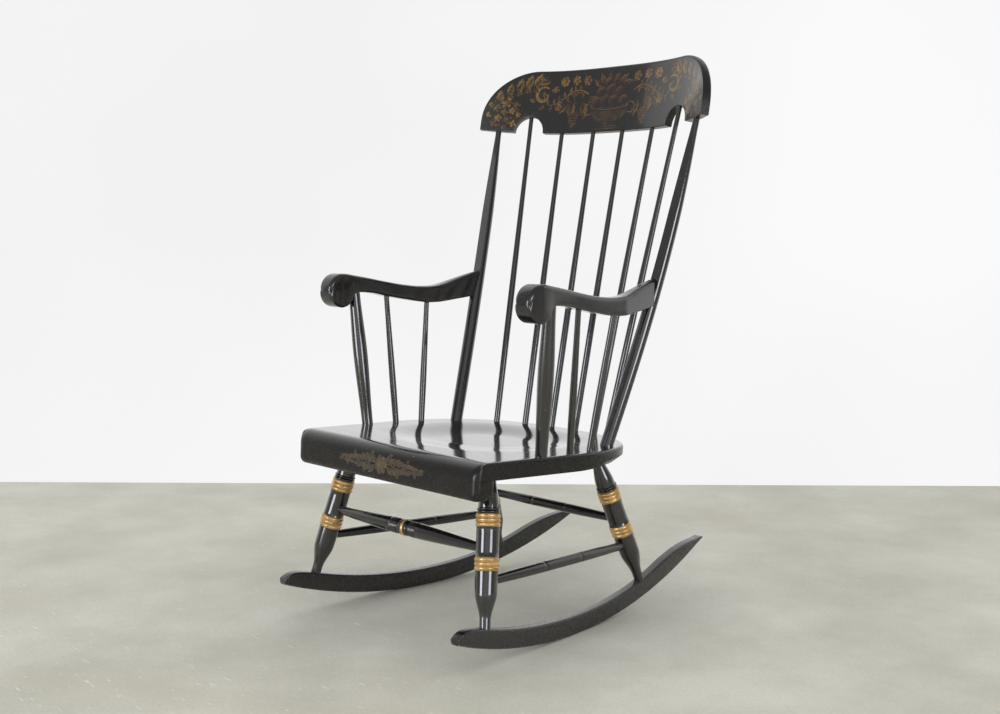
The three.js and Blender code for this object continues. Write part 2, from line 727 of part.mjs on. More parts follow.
function onCrest(x, depth, height = 0) {
  return inCrest(x, depth, height).applyMatrix4(crestFrame);
}

for (const sign of Object.values(SIDES)) {
  const x = sign * CREST_HALF_WIDTH * SPINDLE_CREST_SHARES.at(-1);
  const middle = inCrest(x, CREST_THICKNESS / 2, 0);
  const front = inCrest(x, 0, 0);
  const through = standing(middle, middle.clone().sub(front));
  const cutter = turned([
    [-CREST_THICKNESS, CREST_NOTCH_RADIUS],
    [CREST_THICKNESS, CREST_NOTCH_RADIUS],
  ], NOTCH_SIDES);
  crest.solid = crest.solid.subtract(toSolid(cutter.applyMatrix4(through)));
}

// Back posts, bent backwards and outwards between seat and crest, whose heads run up inside the crest

function postPath(sign) {
  const foot = onSeat(sign * (SEAT_HALF_WIDTH - POST_SEAT_INSET), 0);
  const head = onCrest(sign * (CREST_HALF_WIDTH - POST_CREST_INSET), CREST_THICKNESS / 2);
  const bow = new THREE.Vector3(sign * POST_BOW_OUT, POST_BOW_BACK, 0);
  return (share) => {
    const inside = THREE.MathUtils.clamp(share, 0, 1);
    const point = foot.clone().lerp(head, inside).addScaledVector(bow, Math.sin(Math.PI * inside));
    if (share === inside) return point;
    const tangent = share > 1 ? crestUp.clone() : head.clone().sub(foot).addScaledVector(bow, Math.PI);
    return point.addScaledVector(tangent.normalize(), (share - inside) * foot.distanceTo(head));
  };
}

function postTangent(path, share) {
  const step = 1e-4;
  return path(share + step).sub(path(share - step)).normalize();
}

// A ring round the post. It may be grown, and its back half pushed back, to serve as a cutter.
function postSection(path, share, grow = 0, pushBack = 0) {
  const middle = path(share);
  const tangent = postTangent(path, share);
  const front = new THREE.Vector3(0, -1, 0).addScaledVector(tangent, tangent.y).normalize();
  const across = tangent.clone().cross(front);
  const radius = POST_RADIUS * between(POST_RADIUS_SHARES, share) + grow;
  const rise = smooth((share - POST_FLAT_START_SHARE) / (POST_FLAT_FULL_SHARE - POST_FLAT_START_SHARE));
  const fall = smooth((share - POST_FLAT_END_SHARE) / (1 - POST_FLAT_END_SHARE));
  const flat = THREE.MathUtils.lerp(1, POST_FLAT_SHARE, rise * (1 - fall));
  const ring = [];
  for (let i = 0; i < POST_SIDES; i += 1) {
    const angle = (i / POST_SIDES) * 2 * Math.PI;
    const forward = Math.min(radius * Math.cos(angle), flat * radius);
    ring.push(middle.clone()
      .addScaledVector(front, forward < 0 ? forward - pushBack : forward)
      .addScaledVector(across, radius * Math.sin(angle)));
  }
  return ring;
}

function postGeometry(sign, grow = 0, pushBack = 0) {
  const path = postPath(sign);
  const length = path(0).distanceTo(path(1));
  const shares = [-SEAT_HOLE_DEPTH / length, 0];
  const steps = 12;
  for (let i = 1; i <= steps; i += 1) shares.push(i / steps);
  shares.push(1 + CREST_HOLE_DEPTH / length);
  return loft(shares.map((share) => postSection(path, share, grow, pushBack)));
}

for (const [side, sign] of Object.entries(SIDES)) {
  addPiece(`back_post_${side}`, postGeometry(sign));
  const path = postPath(sign);
  const footRadius = POST_RADIUS * POST_RADIUS_SHARES[0][1];
  const headRadius = POST_RADIUS * POST_RADIUS_SHARES.at(-1)[1];
  drill(seat, path(0), postTangent(path, 0).negate(), footRadius, SEAT_HOLE_DEPTH, POST_RADIUS);
  drill(crest, path(1), crestUp, headRadius, CREST_HOLE_DEPTH, POST_RADIUS);
}

// Back spindles

function spindleFoot(sign, share) {
  const x = sign * share * (SEAT_HALF_WIDTH - SPINDLE_ROW_INSET);
  return onSeat(x, -SPINDLE_ROW_CENTRE + SPINDLE_ROW_DEPTH * Math.sqrt(1 - share ** 2));
}

// A slim turned stick that stands in one piece and enters another, both at its full thickness.
function addStick(name, foot, footHost, footDepth, head, headHost, headDepth, radii) {
  const direction = head.clone().sub(foot).normalize();
  const length = foot.distanceTo(head);
  const [low, swell, high, swellShare] = radii;
  const swellAt = length * swellShare;
  const profile = [
    [-footDepth, low],
    ...easeBetween([0, low], [swellAt, swell], STICK_EASE_STEPS),
    ...easeBetween([swellAt, swell], [length, high], STICK_EASE_STEPS).slice(1),
    [length + headDepth, high],
  ];
  addPiece(name, turned(profile, SPINDLE_SIDES), standing(foot, direction));
  drill(footHost, foot, direction.clone().negate(), low, footDepth, low);
  drill(headHost, head, direction, high, headDepth, 2 * high);
}

let spindleNumber = 0;
for (const slot of [-3, -2, -1, 1, 2, 3]) {
  spindleNumber += 1;
  const sign = Math.sign(slot);
  const place = Math.abs(slot) - 1;
  const inNotch = place === SPINDLE_CREST_SHARES.length - 1;
  const headX = sign * CREST_HALF_WIDTH * SPINDLE_CREST_SHARES[place];
  addStick(
    `back_spindle_${spindleNumber}`,
    spindleFoot(sign, SPINDLE_SEAT_SHARES[place]),
    seat,
    SEAT_HOLE_DEPTH,
    onCrest(headX, SPINDLE_CREST_DEPTH, inNotch ? CREST_NOTCH_RADIUS : 0),
    crest,
    CREST_HOLE_DEPTH,
    [SPINDLE_BOTTOM_RADIUS, SPINDLE_SWELL_RADIUS, SPINDLE_TOP_RADIUS, SPINDLE_SWELL_SHARE],
  );
}

// Arms

const armNoseY = SEAT_FRONT - ARM_NOSE_SETBACK;
const armLength = armNoseY + ARM_END_Y;
const armTailHeight = (armHeight(1, 1) + armHeight(1, 2)) / 2;
const armBendX = SEAT_HALF_WIDTH - ARM_BEND_INSET;
const armEndX = postMiddle(1, armTailHeight).x - ARM_END_INSET;

function postMiddle(sign, height) {
  const path = postPath(sign);
  return path((height - path(0).z) / (path(1).z - path(0).z));
}

function armCentre(share) {
  const toBend = share / ARM_BEND_SHARE;
  const past = Math.max(0, share - ARM_BEND_SHARE) / (1 - ARM_BEND_SHARE);
  const scrollX = SEAT_HALF_WIDTH + ARM_SCROLL_OVERHANG;
  const beforeBend = THREE.MathUtils.lerp(scrollX, armBendX, Math.min(1, toBend));
  return beforeBend + (armEndX - armBendX) * past;
}

function armWidth(share) {
  const waist = THREE.MathUtils.lerp(ARM_SCROLL_WIDTH, ARM_WAIST_WIDTH, smooth(share / ARM_BEND_SHARE * 2));
  const past = Math.max(0, share - ARM_BEND_SHARE) / (1 - ARM_BEND_SHARE);
  return THREE.MathUtils.lerp(waist, ARM_END_WIDTH, past);
}

function armHeight(share, column) {
  return SCROLL_BOTTOM_HEIGHT + SCROLL_HEIGHT * between(ARM_PROFILE_SHARES, share, column);
}

function armSection(sign, share) {
  const y = -armNoseY + share * armLength;
  const top = armHeight(share, 1);
  const bottom = armHeight(share, 2);
  const nose = smooth((SCROLL_HEIGHT / 2 - share * armLength) / (SCROLL_HEIGHT / 2));
  const half = armWidth(share) / 2 - ARM_EDGE_ROUND * ARM_NOSE_DRAW_SHARE * nose;
  const middle = sign * armCentre(share);
  const r = Math.min(ARM_EDGE_ROUND, (top - bottom) * ARM_EDGE_ROUND_SHARE);
  const corner = r * (1 - Math.SQRT1_2);
  const low = r / 2;
  const lowCorner = low * (1 - Math.SQRT1_2);
  return [
    [half - low, bottom], [half - lowCorner, bottom + lowCorner], [half, bottom + low],
    [half, top - r], [half - corner, top - corner], [half - r, top],
    [r - half, top], [corner - half, top - corner], [-half, top - r],
    [-half, bottom + low], [lowCorner - half, bottom + lowCorner], [low - half, bottom],
  ].map(([x, z]) => new THREE.Vector3(middle + x, y, z));
}

function armGeometry(sign) {
  return loft(ARM_PROFILE_SHARES.map(([share]) => armSection(sign, share)).reverse());
}

// The point on the arm's underside at a place y.
function underArm(sign, y) {
  const share = (y + armNoseY) / armLength;
  return new THREE.Vector3(sign * armCentre(share), y, armHeight(share, 2));
}

for (const [side, sign] of Object.entries(SIDES)) {
  const arm = addPiece(`arm_${side}`, armGeometry(sign));
  const post = pieces[`back_post_${side}`];

  // The arm's tail is coped to the post and a round tenon carries on into it.
  const middle = postMiddle(sign, armTailHeight);
  const tail = new THREE.Vector3(sign * armBendX, -armNoseY + ARM_BEND_SHARE * armLength, armTailHeight);
  const inward = middle.clone().sub(tail).setZ(0).normalize();
  const shoulder = middle.clone().addScaledVector(inward, -POST_RADIUS);
  arm.solid = arm.solid.subtract(inFrameOf(arm, postGeometry(sign, GAP, ARM_COPE_REACH), post.frame));
  const tenon = turned([
    [-ARM_TENON_ROOT, ARM_TENON_RADIUS],
    [ARM_TENON_DEPTH, ARM_TENON_RADIUS],
  ], HOLE_SIDES);
  arm.solid = arm.solid.add(inFrameOf(arm, tenon, standing(shoulder, inward)));
  drill(post, shoulder, inward, ARM_TENON_RADIUS, ARM_TENON_DEPTH, POST_RADIUS);

  addStick(
    `arm_support_${side}`,
    onSeat(sign * (SEAT_HALF_WIDTH - SUPPORT_SEAT_INSET), SUPPORT_SEAT_SETBACK - SEAT_FRONT),
    seat,
    SEAT_HOLE_DEPTH,
    underArm(sign, SUPPORT_ARM_SETBACK - armNoseY),
    arm,
    ARM_HOLE_DEPTH,
    [SUPPORT_BOTTOM_RADIUS, SUPPORT_SWELL_RADIUS, SUPPORT_TOP_RADIUS, SUPPORT_SWELL_SHARE],
  );
  for (const [place, y] of ARM_SPINDLE_SEAT_Y.entries()) {
    addStick(
      `arm_spindle_${side}_${place + 1}`,
      onSeat(sign * (SEAT_HALF_WIDTH - ARM_SPINDLE_SEAT_INSET[place]), -y),
      seat,
      SEAT_HOLE_DEPTH,
      underArm(sign, -ARM_SPINDLE_ARM_Y[place]),
      arm,
      ARM_HOLE_DEPTH,
      [ARM_SPINDLE_BOTTOM_RADIUS, ARM_SPINDLE_SWELL_RADIUS, ARM_SPINDLE_TOP_RADIUS, SPINDLE_SWELL_SHARE],
    );
  }
}

for (const [name, { solid, frame }] of Object.entries(pieces)) {
  const mesh = new THREE.Mesh(toGeometry(solid), lacquer);
  mesh.name = name;
  frame.decompose(mesh.position, mesh.quaternion, mesh.scale);
  chair.add(mesh);
}

// The rockers are the chair's longest pieces, so they set the middle of its length.
const rockerMiddle = -ROCKER_LOW + (ROCKER_REAR_REACH - ROCKER_FRONT_REACH) / 2 * Math.cos(toeIn);
chair.position.y = -rockerMiddle;

export default chair;
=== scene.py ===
# A Boston rocking chair, black lacquered, with gilded turnings and a stencilled crest rail and seat roll.
# The chair's sections work in millimetres from the line through the back posts' holes in the seat, with
# the chair facing -Y, and in_frame() brings their points to the CAD frame in metres.

import math

import bpy
from mathutils import Matrix, Vector, noise


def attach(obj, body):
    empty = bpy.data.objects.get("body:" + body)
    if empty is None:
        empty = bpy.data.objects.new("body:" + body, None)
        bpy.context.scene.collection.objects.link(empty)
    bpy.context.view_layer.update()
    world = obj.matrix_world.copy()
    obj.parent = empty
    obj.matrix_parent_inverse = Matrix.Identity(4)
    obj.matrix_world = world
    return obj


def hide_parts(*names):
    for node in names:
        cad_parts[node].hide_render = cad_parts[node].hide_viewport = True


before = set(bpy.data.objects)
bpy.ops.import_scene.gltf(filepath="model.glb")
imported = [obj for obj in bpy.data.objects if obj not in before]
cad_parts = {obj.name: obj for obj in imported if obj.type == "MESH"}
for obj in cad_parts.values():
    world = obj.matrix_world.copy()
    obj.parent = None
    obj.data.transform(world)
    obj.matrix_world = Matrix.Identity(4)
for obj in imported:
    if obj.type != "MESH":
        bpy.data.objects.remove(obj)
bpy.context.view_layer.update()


# Seat plank
# A wide maple plank, 30 mm thick, sawn to a rounded back, dished for the sitter, and sprayed black
# under polished clear lacquer. All the turnings are glued into round holes bored in it.

SIDES = (("left", 1), ("right", -1))
POST_LINE_Y = 43.2
SEAT_HEIGHT = 329
SEAT_TILT = math.radians(3)
SEAT_THICKNESS = 30
SEAT_HALF_WIDTH = 256
SEAT_FRONT_HALF_WIDTH = 247
SEAT_FRONT = 362
SEAT_STRAIGHT_END = 130
SEAT_BACK = 118
SEAT_BACK_POWER = 2.5
SEAT_CORNER_ROUND = 13
SEAT_FRONT_ROUND = 26
SEAT_EDGE_ROUND = 6
SEAT_BEVEL = (15, 12)
SEAT_DISH_CENTRE = 100
SEAT_DISH_DEPTH = 10
SEAT_DISH_RIM = 0.77
SEAT_DISH_FLOOR = 0.3


def smooth(share):
    """A share from 0 to 1, eased at both ends."""
    share = min(1, max(0, share))
    return share * share * (3 - 2 * share)


def mix(low, high, share):
    return low + (high - low) * share


def in_frame(point):
    return Vector((point.x, point.y + POST_LINE_Y, point.z)) / 1000


def on_seat(x, y, z=0):
    """A point at (x, y) on the tilted seat, some height z above its top."""
    return Matrix.Rotation(-SEAT_TILT, 3, "X") @ Vector((x, y, z)) + Vector((0, 0, SEAT_HEIGHT))


def new_piece(name, points, faces, **marks):
    """A mesh object, smooth shaded, that holds a value at each point for each mark."""
    mesh = bpy.data.meshes.new(name)
    mesh.from_pydata(points, [], faces)
    for label, values in marks.items():
        mesh.attributes.new(label, "FLOAT", "POINT").data.foreach_set("value", values)
    mesh.shade_smooth()
    piece = bpy.data.objects.new(name, mesh)
    bpy.context.scene.collection.objects.link(piece)
    return piece


def skin(name, rings, rubbed, gilt=None, crease=32, polished=lambda r, i: 0):
    """Skins rows of points into a closed body. rubbed and polished(ring, point) say how worn and how
    thickly clear coated each point is, and gilt which rows of faces are gilded."""
    count, last = len(rings[0]), len(rings) - 1
    points = [point for ring in rings for point in ring]
    points += [sum(rings[end], Vector()) / count for end in (0, last)]
    faces = []
    for r in range(last):
        for i in range(count):
            a, b = r * count + i, r * count + (i + 1) % count
            faces.append((a, b, b + count, a + count))
    for end, middle in ((0, len(points) - 2), (last, len(points) - 1)):
        for i in range(count):
            a, b = end * count + i, end * count + (i + 1) % count
            faces.append((a, b, middle) if end else (b, a, middle))
    places = [(r, i) for r in range(last + 1) for i in range(count)] + [(0, 0), (last, 0)]
    piece = new_piece(name, [in_frame(point) for point in points], faces,
                      rubbed=[float(rubbed(*place)) for place in places],
                      polished=[float(polished(*place)) for place in places])
    gilded = [int(bool(gilt and gilt[r])) for r in range(last) for i in range(count)] + [0] * count * 2
    piece.data.polygons.foreach_set("material_index", gilded)
    piece.data.set_sharp_from_angle(angle=math.radians(crease))
    return piece


def stand_for(piece, node, *surfaces):
    """Rides a piece on the chair in place of its CAD node and gives it its surfaces."""
    for surface in surfaces:
        piece.data.materials.append(surface)
    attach(piece, "root")
    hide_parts(node)
    return piece


def linear(code):
    """An sRGB hex colour as a linear RGBA colour."""
    shares = [int(code[i:i + 2], 16) / 255 for i in (1, 3, 5)]
    return [s / 12.92 if s <= 0.04045 else ((s + 0.055) / 1.055) ** 2.4 for s in shares] + [1]


class Look:
    """A material, or the world, while its nodes are laid. add() adds one shader node with its values,
    links and settings, and every other method goes through it."""

    def __init__(self, made):
        made.use_nodes = True
        self.made = made
        self.tree = made.node_tree
        self.tree.nodes.clear()
        self.coordinates = self.add("TexCoord")
        self.place = self.coordinates["Object"]

    def add(self, kind, inputs=None, **settings):
        node = self.tree.nodes.new("ShaderNode" + kind)
        for key, value in settings.items():
            setattr(node, key, value)
        for socket, value in (inputs or {}).items():
            if isinstance(value, bpy.types.NodeSocket):
                self.tree.links.new(value, node.inputs[socket])
            else:
                node.inputs[socket].default_value = value
        return node.outputs

    def cloud(self, scale, detail=2.0, roughness=0.5, distortion=0.0, place=None):
        """Cloudy noise about 1000 / scale mm from cloud to cloud."""
        place = self.place if place is None else place
        return self.add("TexNoise", {"Vector": place, "Scale": scale, "Detail": detail,
                                     "Roughness": roughness, "Distortion": distortion})[0]

    def mark(self, label):
        """The value that the mesh holds at each point."""
        return self.add("Attribute", attribute_name=label)["Fac"]

    def ramp(self, value, low, high, start=0, end=1):
        """A value spread from low to high over start to end, and held beyond them."""
        return self.add("MapRange", {0: value, 1: low, 2: high, 3: start, 4: end})[0]

    def maths(self, operation, *values):
        return self.add("Math", dict(enumerate(values)), operation=operation)[0]

    def blend(self, share, *colours):
        """A share from one colour to another, each a hex code or a socket."""
        first, second = [linear(c) if isinstance(c, str) else c for c in colours]
        return self.add("Mix", {0: share, 6: first, 7: second}, data_type="RGBA")[2]

    def bump(self, height, strength, distance, under=None, sunk=False):
        below = {} if under is None else {"Normal": under}
        return self.add("Bump", {"Strength": strength, "Distance": distance, "Height": height, **below},
                        invert=sunk)[0]

    def done(self, kind, inputs, output="OutputMaterial"):
        self.add(output, {0: self.add(kind, inputs)[0]})
        return self.made


def black_lacquer(name, gloss, haze, wear, ripple, primer="#4A3022", wood="#B09A7C", clear=0.0,
                  coat_rough=0.11, shine=0.5, faces_only=False):
    """Black lacquer over brown primer on maple. gloss and haze are the least and the added roughness,
    and clear is the weight of the clear coat, which may lie only on the faces marked as polished."""
    look = Look(bpy.data.materials.new(name))
    # Cloudy film: the black varies softly over some 80 mm, as a hand-rubbed coat does.
    cloudy = look.cloud(12, 4, 0.6)
    black = look.blend(cloudy, "#0C0B0A", "#1D1916")
    # Dust and hand marks, 4 to 12 mm across, dull the polish in patches.
    dull = look.ramp(look.cloud(110, 6, 0.62, 0.6), 0.42, 0.72, gloss, gloss + haze)
    # Hairline scratches, drawn about 0.4 mm wide so that they show, where a slow noise crosses one half.
    off_line = look.maths("ABSOLUTE", look.maths("SUBTRACT", look.cloud(26, 1.5, distortion=1.8), 0.5))
    scratch = look.maths("MULTIPLY", look.ramp(off_line, 0, 0.0035, 1, 0), look.ramp(cloudy, 0.5, 0.62))
    # Rubbed edges: a 2 mm grit breaks up where the piece's own rubbed mark says it is worn.
    rub = look.mark("rubbed")
    broken = look.maths("MULTIPLY_ADD", rub, wear, look.cloud(420, 8, 0.7))
    bare = look.ramp(broken, 0.9, 0.98)
    deep = look.ramp(broken, 1.04, 1.12)
    # Chips of about 1 mm: a few cells of a 6 mm scatter, each with a small bare centre.
    cells = look.add("TexVoronoi", {"Vector": look.place, "Scale": 160, "Randomness": 1})
    centre = look.ramp(cells["Distance"], 0.07, 0.12, 1, 0)
    pick = look.add("SeparateColor", {0: cells["Color"]})[0]
    few = look.ramp(look.maths("MULTIPLY_ADD", rub, 0.3, pick), 1.03, 1.035)
    chip = look.maths("MULTIPLY", centre, few)
    with_primer = look.blend(bare, black, primer)
    open_wood = look.maths("MAXIMUM", bare, chip)
    matt = look.maths("MULTIPLY_ADD", open_wood, 0.35, dull)
    rough = look.maths("MULTIPLY_ADD", scratch, 0.25, matt)
    coat = clear
    if faces_only:
        # Off the polished faces there is no clear coat, and the film is a little duller.
        coated = look.mark("polished")
        coat = look.maths("MULTIPLY", coated, clear)
        rough = look.maths("ADD", look.ramp(coated, 0, 1, 0.12, 0), rough)
    # The film is not quite flat: waves of about 20 mm bend the reflections, and chips sit below it.
    film = look.bump(look.cloud(48), ripple, 0.0006)
    relief = look.bump(look.maths("MAXIMUM", open_wood, scratch), 0.5, 0.0002, film, sunk=True)
    return look.done("BsdfPrincipled", {
        "Base Color": look.blend(look.maths("MAXIMUM", chip, deep), with_primer, wood), "Roughness": rough,
        "IOR": 1.5, "Normal": relief, "Specular IOR Level": shine, "Coat Weight": coat,
        "Coat Roughness": coat_rough,
    })


# Polished seat lacquer under a clear coat: it mirrors the wall and the spindles, hazed by sitting.
# The edges and the rolled front, dulled by calves and hands, are satin: the black itself shows there.
seat_lacquer = black_lacquer("black_lacquer_clear_coated_on_maple", 0.13, 0.12, 0.45, 0.1, clear=1.0,
                             coat_rough=0.08, shine=0.4, faces_only=True)


def seat_outline():
    """The seat's edge as (x, y) points, once round from its front corner on the sitter's right."""
    side = SEAT_FRONT_HALF_WIDTH - SEAT_CORNER_ROUND
    front = SEAT_CORNER_ROUND - SEAT_FRONT
    corner_steps, front_steps, side_steps, back_steps = 8, 60, 30, 120

    def corner(sign, step):
        angle = step / corner_steps * math.pi / 2
        return Vector((sign * (side + SEAT_CORNER_ROUND * math.sin(angle)),
                       front - SEAT_CORNER_ROUND * math.cos(angle)))

    points = [corner(-1, 0).lerp(corner(1, 0), i / front_steps) for i in range(front_steps)]
    points += [corner(1, i) for i in range(corner_steps)]
    side_end = Vector((SEAT_HALF_WIDTH, -SEAT_STRAIGHT_END))
    points += [corner(1, corner_steps).lerp(side_end, i / side_steps) for i in range(side_steps)]
    for i in range(back_steps):
        across, behind = math.cos(i / back_steps * math.pi), math.sin(i / back_steps * math.pi)
        points.append(Vector((
            math.copysign(SEAT_HALF_WIDTH * abs(across) ** (2 / SEAT_BACK_POWER), across),
            (SEAT_BACK + SEAT_STRAIGHT_END) * behind ** (2 / SEAT_BACK_POWER) - SEAT_STRAIGHT_END)))
    far_end = Vector((-SEAT_HALF_WIDTH, -SEAT_STRAIGHT_END))
    points += [far_end.lerp(corner(-1, corner_steps), i / side_steps) for i in range(side_steps)]
    return points + [corner(-1, i) for i in range(corner_steps, 0, -1)]


outline = seat_outline()
inward = []
for i, point in enumerate(outline):
    before, after = outline[i - 1], outline[(i + 1) % len(outline)]
    inward.append(Vector((before.y - after.y, after.x - before.x)).normalized())
front_share = [smooth((-point.y - SEAT_FRONT) / SEAT_CORNER_ROUND + 1) for point in outline]
rear_share = [smooth((point.y + SEAT_STRAIGHT_END) / SEAT_BACK) for point in outline]
edge_round = [mix(SEAT_EDGE_ROUND, SEAT_FRONT_ROUND, share) for share in front_share]
seat_middle = Vector((0, -SEAT_DISH_CENTRE))


def rim(i, share):
    """An outline point drawn in by a share of the edge's rounding, which is deep only at the front."""
    point = outline[i] + inward[i] * SEAT_EDGE_ROUND * share
    if outline[i].y >= -SEAT_STRAIGHT_END:
        return point
    forward = (-outline[i].y - SEAT_STRAIGHT_END) / (SEAT_FRONT - SEAT_STRAIGHT_END)
    return Vector((point.x, outline[i].y + SEAT_FRONT_ROUND * share * forward ** 2))


def dish(point):
    """How deep the seat is dished at a point: a smooth hollow with a flat floor."""
    from_middle = point.y + SEAT_DISH_CENTRE
    reach = SEAT_BACK + SEAT_DISH_CENTRE if from_middle > 0 else SEAT_FRONT - SEAT_DISH_CENTRE
    share = ((abs(point.x) / SEAT_HALF_WIDTH) ** SEAT_BACK_POWER
             + (abs(from_middle) / reach) ** SEAT_BACK_POWER) ** (1 / SEAT_BACK_POWER)
    return SEAT_DISH_DEPTH * smooth((SEAT_DISH_RIM - share) / (SEAT_DISH_RIM - SEAT_DISH_FLOOR))


# The seat's rings with the wear of each, from the middle of the dish out, over the edge and under.
dish_steps, flat_steps, round_steps, under_rings = 36, 6, 8, 4
seat_rows = []
for step in range(1, dish_steps + 1):
    ring = [seat_middle.lerp(point, SEAT_DISH_RIM * step / dish_steps) for point in outline]
    seat_rows.append(([on_seat(*point, -dish(point)) for point in ring], 0))
for step in range(1, flat_steps):
    seat_rows.append(([on_seat(*seat_middle.lerp(point, SEAT_DISH_RIM).lerp(rim(i, 1), step / flat_steps))
                       for i, point in enumerate(outline)], 0))
for step in range(round_steps + 1):
    angle = step / round_steps * math.pi / 2
    seat_rows.append(([on_seat(*rim(i, 1 - math.sin(angle)), -edge_round[i] * (1 - math.cos(angle)))
                       for i in range(len(outline))], 0.32 * math.sin(2 * angle)))
lower_ease = [mix(0.8, 0.05, share) for share in front_share]
for inset, rise, worn in ((0, 1, 0.1), (1, 0, 0.5)):
    seat_rows.append(([on_seat(*(point + inward[i] * (lower_ease[i] + SEAT_BEVEL[0] * rear_share[i]) * inset),
                               -(SEAT_THICKNESS - (lower_ease[i] + SEAT_BEVEL[1] * rear_share[i]) * rise))
                       for i, point in enumerate(outline)], worn))
for share in (0.8, 0.4):
    seat_rows.append(([on_seat(*seat_middle.lerp(point, share), -SEAT_THICKNESS) for point in outline], 0))
seat_rows.reverse()
seat = skin("seat_plank_polished", [ring for ring, worn in seat_rows],
            lambda r, i: seat_rows[r][1] * (1 - front_share[i] if r < under_rings else 1), crease=40,
            polished=lambda r, i: smooth((r - under_rings) / round_steps * 1.4 - 0.3))
stand_for(seat, "seat_plank", seat_lacquer)


# Seat roll
# A bar of maple glued under the front edge, so that the seat rolls over to a deep rounded front. Its
# face carries a small spray in bronze powder, now nearly rubbed away.

ROLL_DEPTH = 45
ROLL_DROP = 34
ROLL_ROUND = 12
ROLL_JOINT = 0.02
ROLL_STENCIL_DROP = 34
ROLL_STRAIGHT = 225

roll_steps = 10
roll_face = [(ROLL_DEPTH - SEAT_FRONT, -SEAT_THICKNESS - ROLL_JOINT),
             (ROLL_DEPTH - SEAT_FRONT, -SEAT_THICKNESS - ROLL_DROP)]
for i in range(roll_steps + 1):
    angle = i / roll_steps * math.pi / 2
    roll_face.append((ROLL_ROUND * (1 - math.sin(angle)) - SEAT_FRONT,
                      ROLL_ROUND * (1 - math.cos(angle)) - SEAT_THICKNESS - ROLL_DROP))
for i in range(1, 8):
    roll_face.append((-SEAT_FRONT, mix(ROLL_ROUND - ROLL_DROP, -ROLL_JOINT, i / 7) - SEAT_THICKNESS))
roll_middle = Vector((ROLL_DEPTH / 2 - SEAT_FRONT, -SEAT_THICKNESS - ROLL_DROP / 2))


def roll_ring(x, inset):
    """The roll's outline at a place along it, drawn in towards its middle by an inset."""
    ring = []
    for y, z in roll_face:
        dy, dz = y - roll_middle.x, z - roll_middle.y
        y -= math.copysign(min(inset, abs(dy)), dy)
        z -= math.copysign(min(inset, abs(dz)), dz) if z < -SEAT_THICKNESS - 1 else 0
        ring.append(on_seat(x, y, z))
    return ring


roll_end = []
for i in range(7):
    angle = i / 6 * math.pi / 2
    roll_end.append((SEAT_FRONT_HALF_WIDTH - SEAT_CORNER_ROUND * (1 - math.sin(angle)),
                     SEAT_CORNER_ROUND * (1 - math.cos(angle)), 0.5 * math.sin(2 * angle)))
roll_places = [(-x, inset, worn) for x, inset, worn in reversed(roll_end)]
roll_places += [(x, 0, 0.1) for x in range(-ROLL_STRAIGHT, ROLL_STRAIGHT + 1, 15)] + roll_end
roll = skin("seat_roll_polished", [roll_ring(x, inset) for x, inset, worn in roll_places],
            lambda r, i: roll_places[r][2])
stand_for(roll, "seat_front_roll", seat_lacquer)


def bronze_stencil(name, bright, dark, keep, varnish):
    """Bronze powder dusted through a stencil on to tacky varnish. keep is how much of it is left."""
    look = Look(bpy.data.materials.new(name))
    # The powder lies in grains and dabs: 1.5 mm mottling over 12 mm patches where it has rubbed thin.
    dab = look.cloud(700, 5, 0.7)
    grain = look.maths("MULTIPLY_ADD", dab, 0.55, look.mark("powder"))
    left = look.maths("MULTIPLY_ADD", look.cloud(85, 4, 0.6), 0.9, grain)
    cover = look.ramp(left, 1.5 - keep, 2.4 - keep)
    metal = look.blend(look.mark("tint"), bright, dark)
    return look.done("BsdfPrincipled", {
        "Base Color": look.blend(cover, "#171310", metal), "Metallic": look.ramp(cover, 0, 1, 0, 0.35),
        "Roughness": look.ramp(cover, 0, 1, varnish, 0.3), "Normal": look.bump(dab, 0.25, 0.0001),
        "Coat Weight": 0.7, "Coat Roughness": varnish,
    })


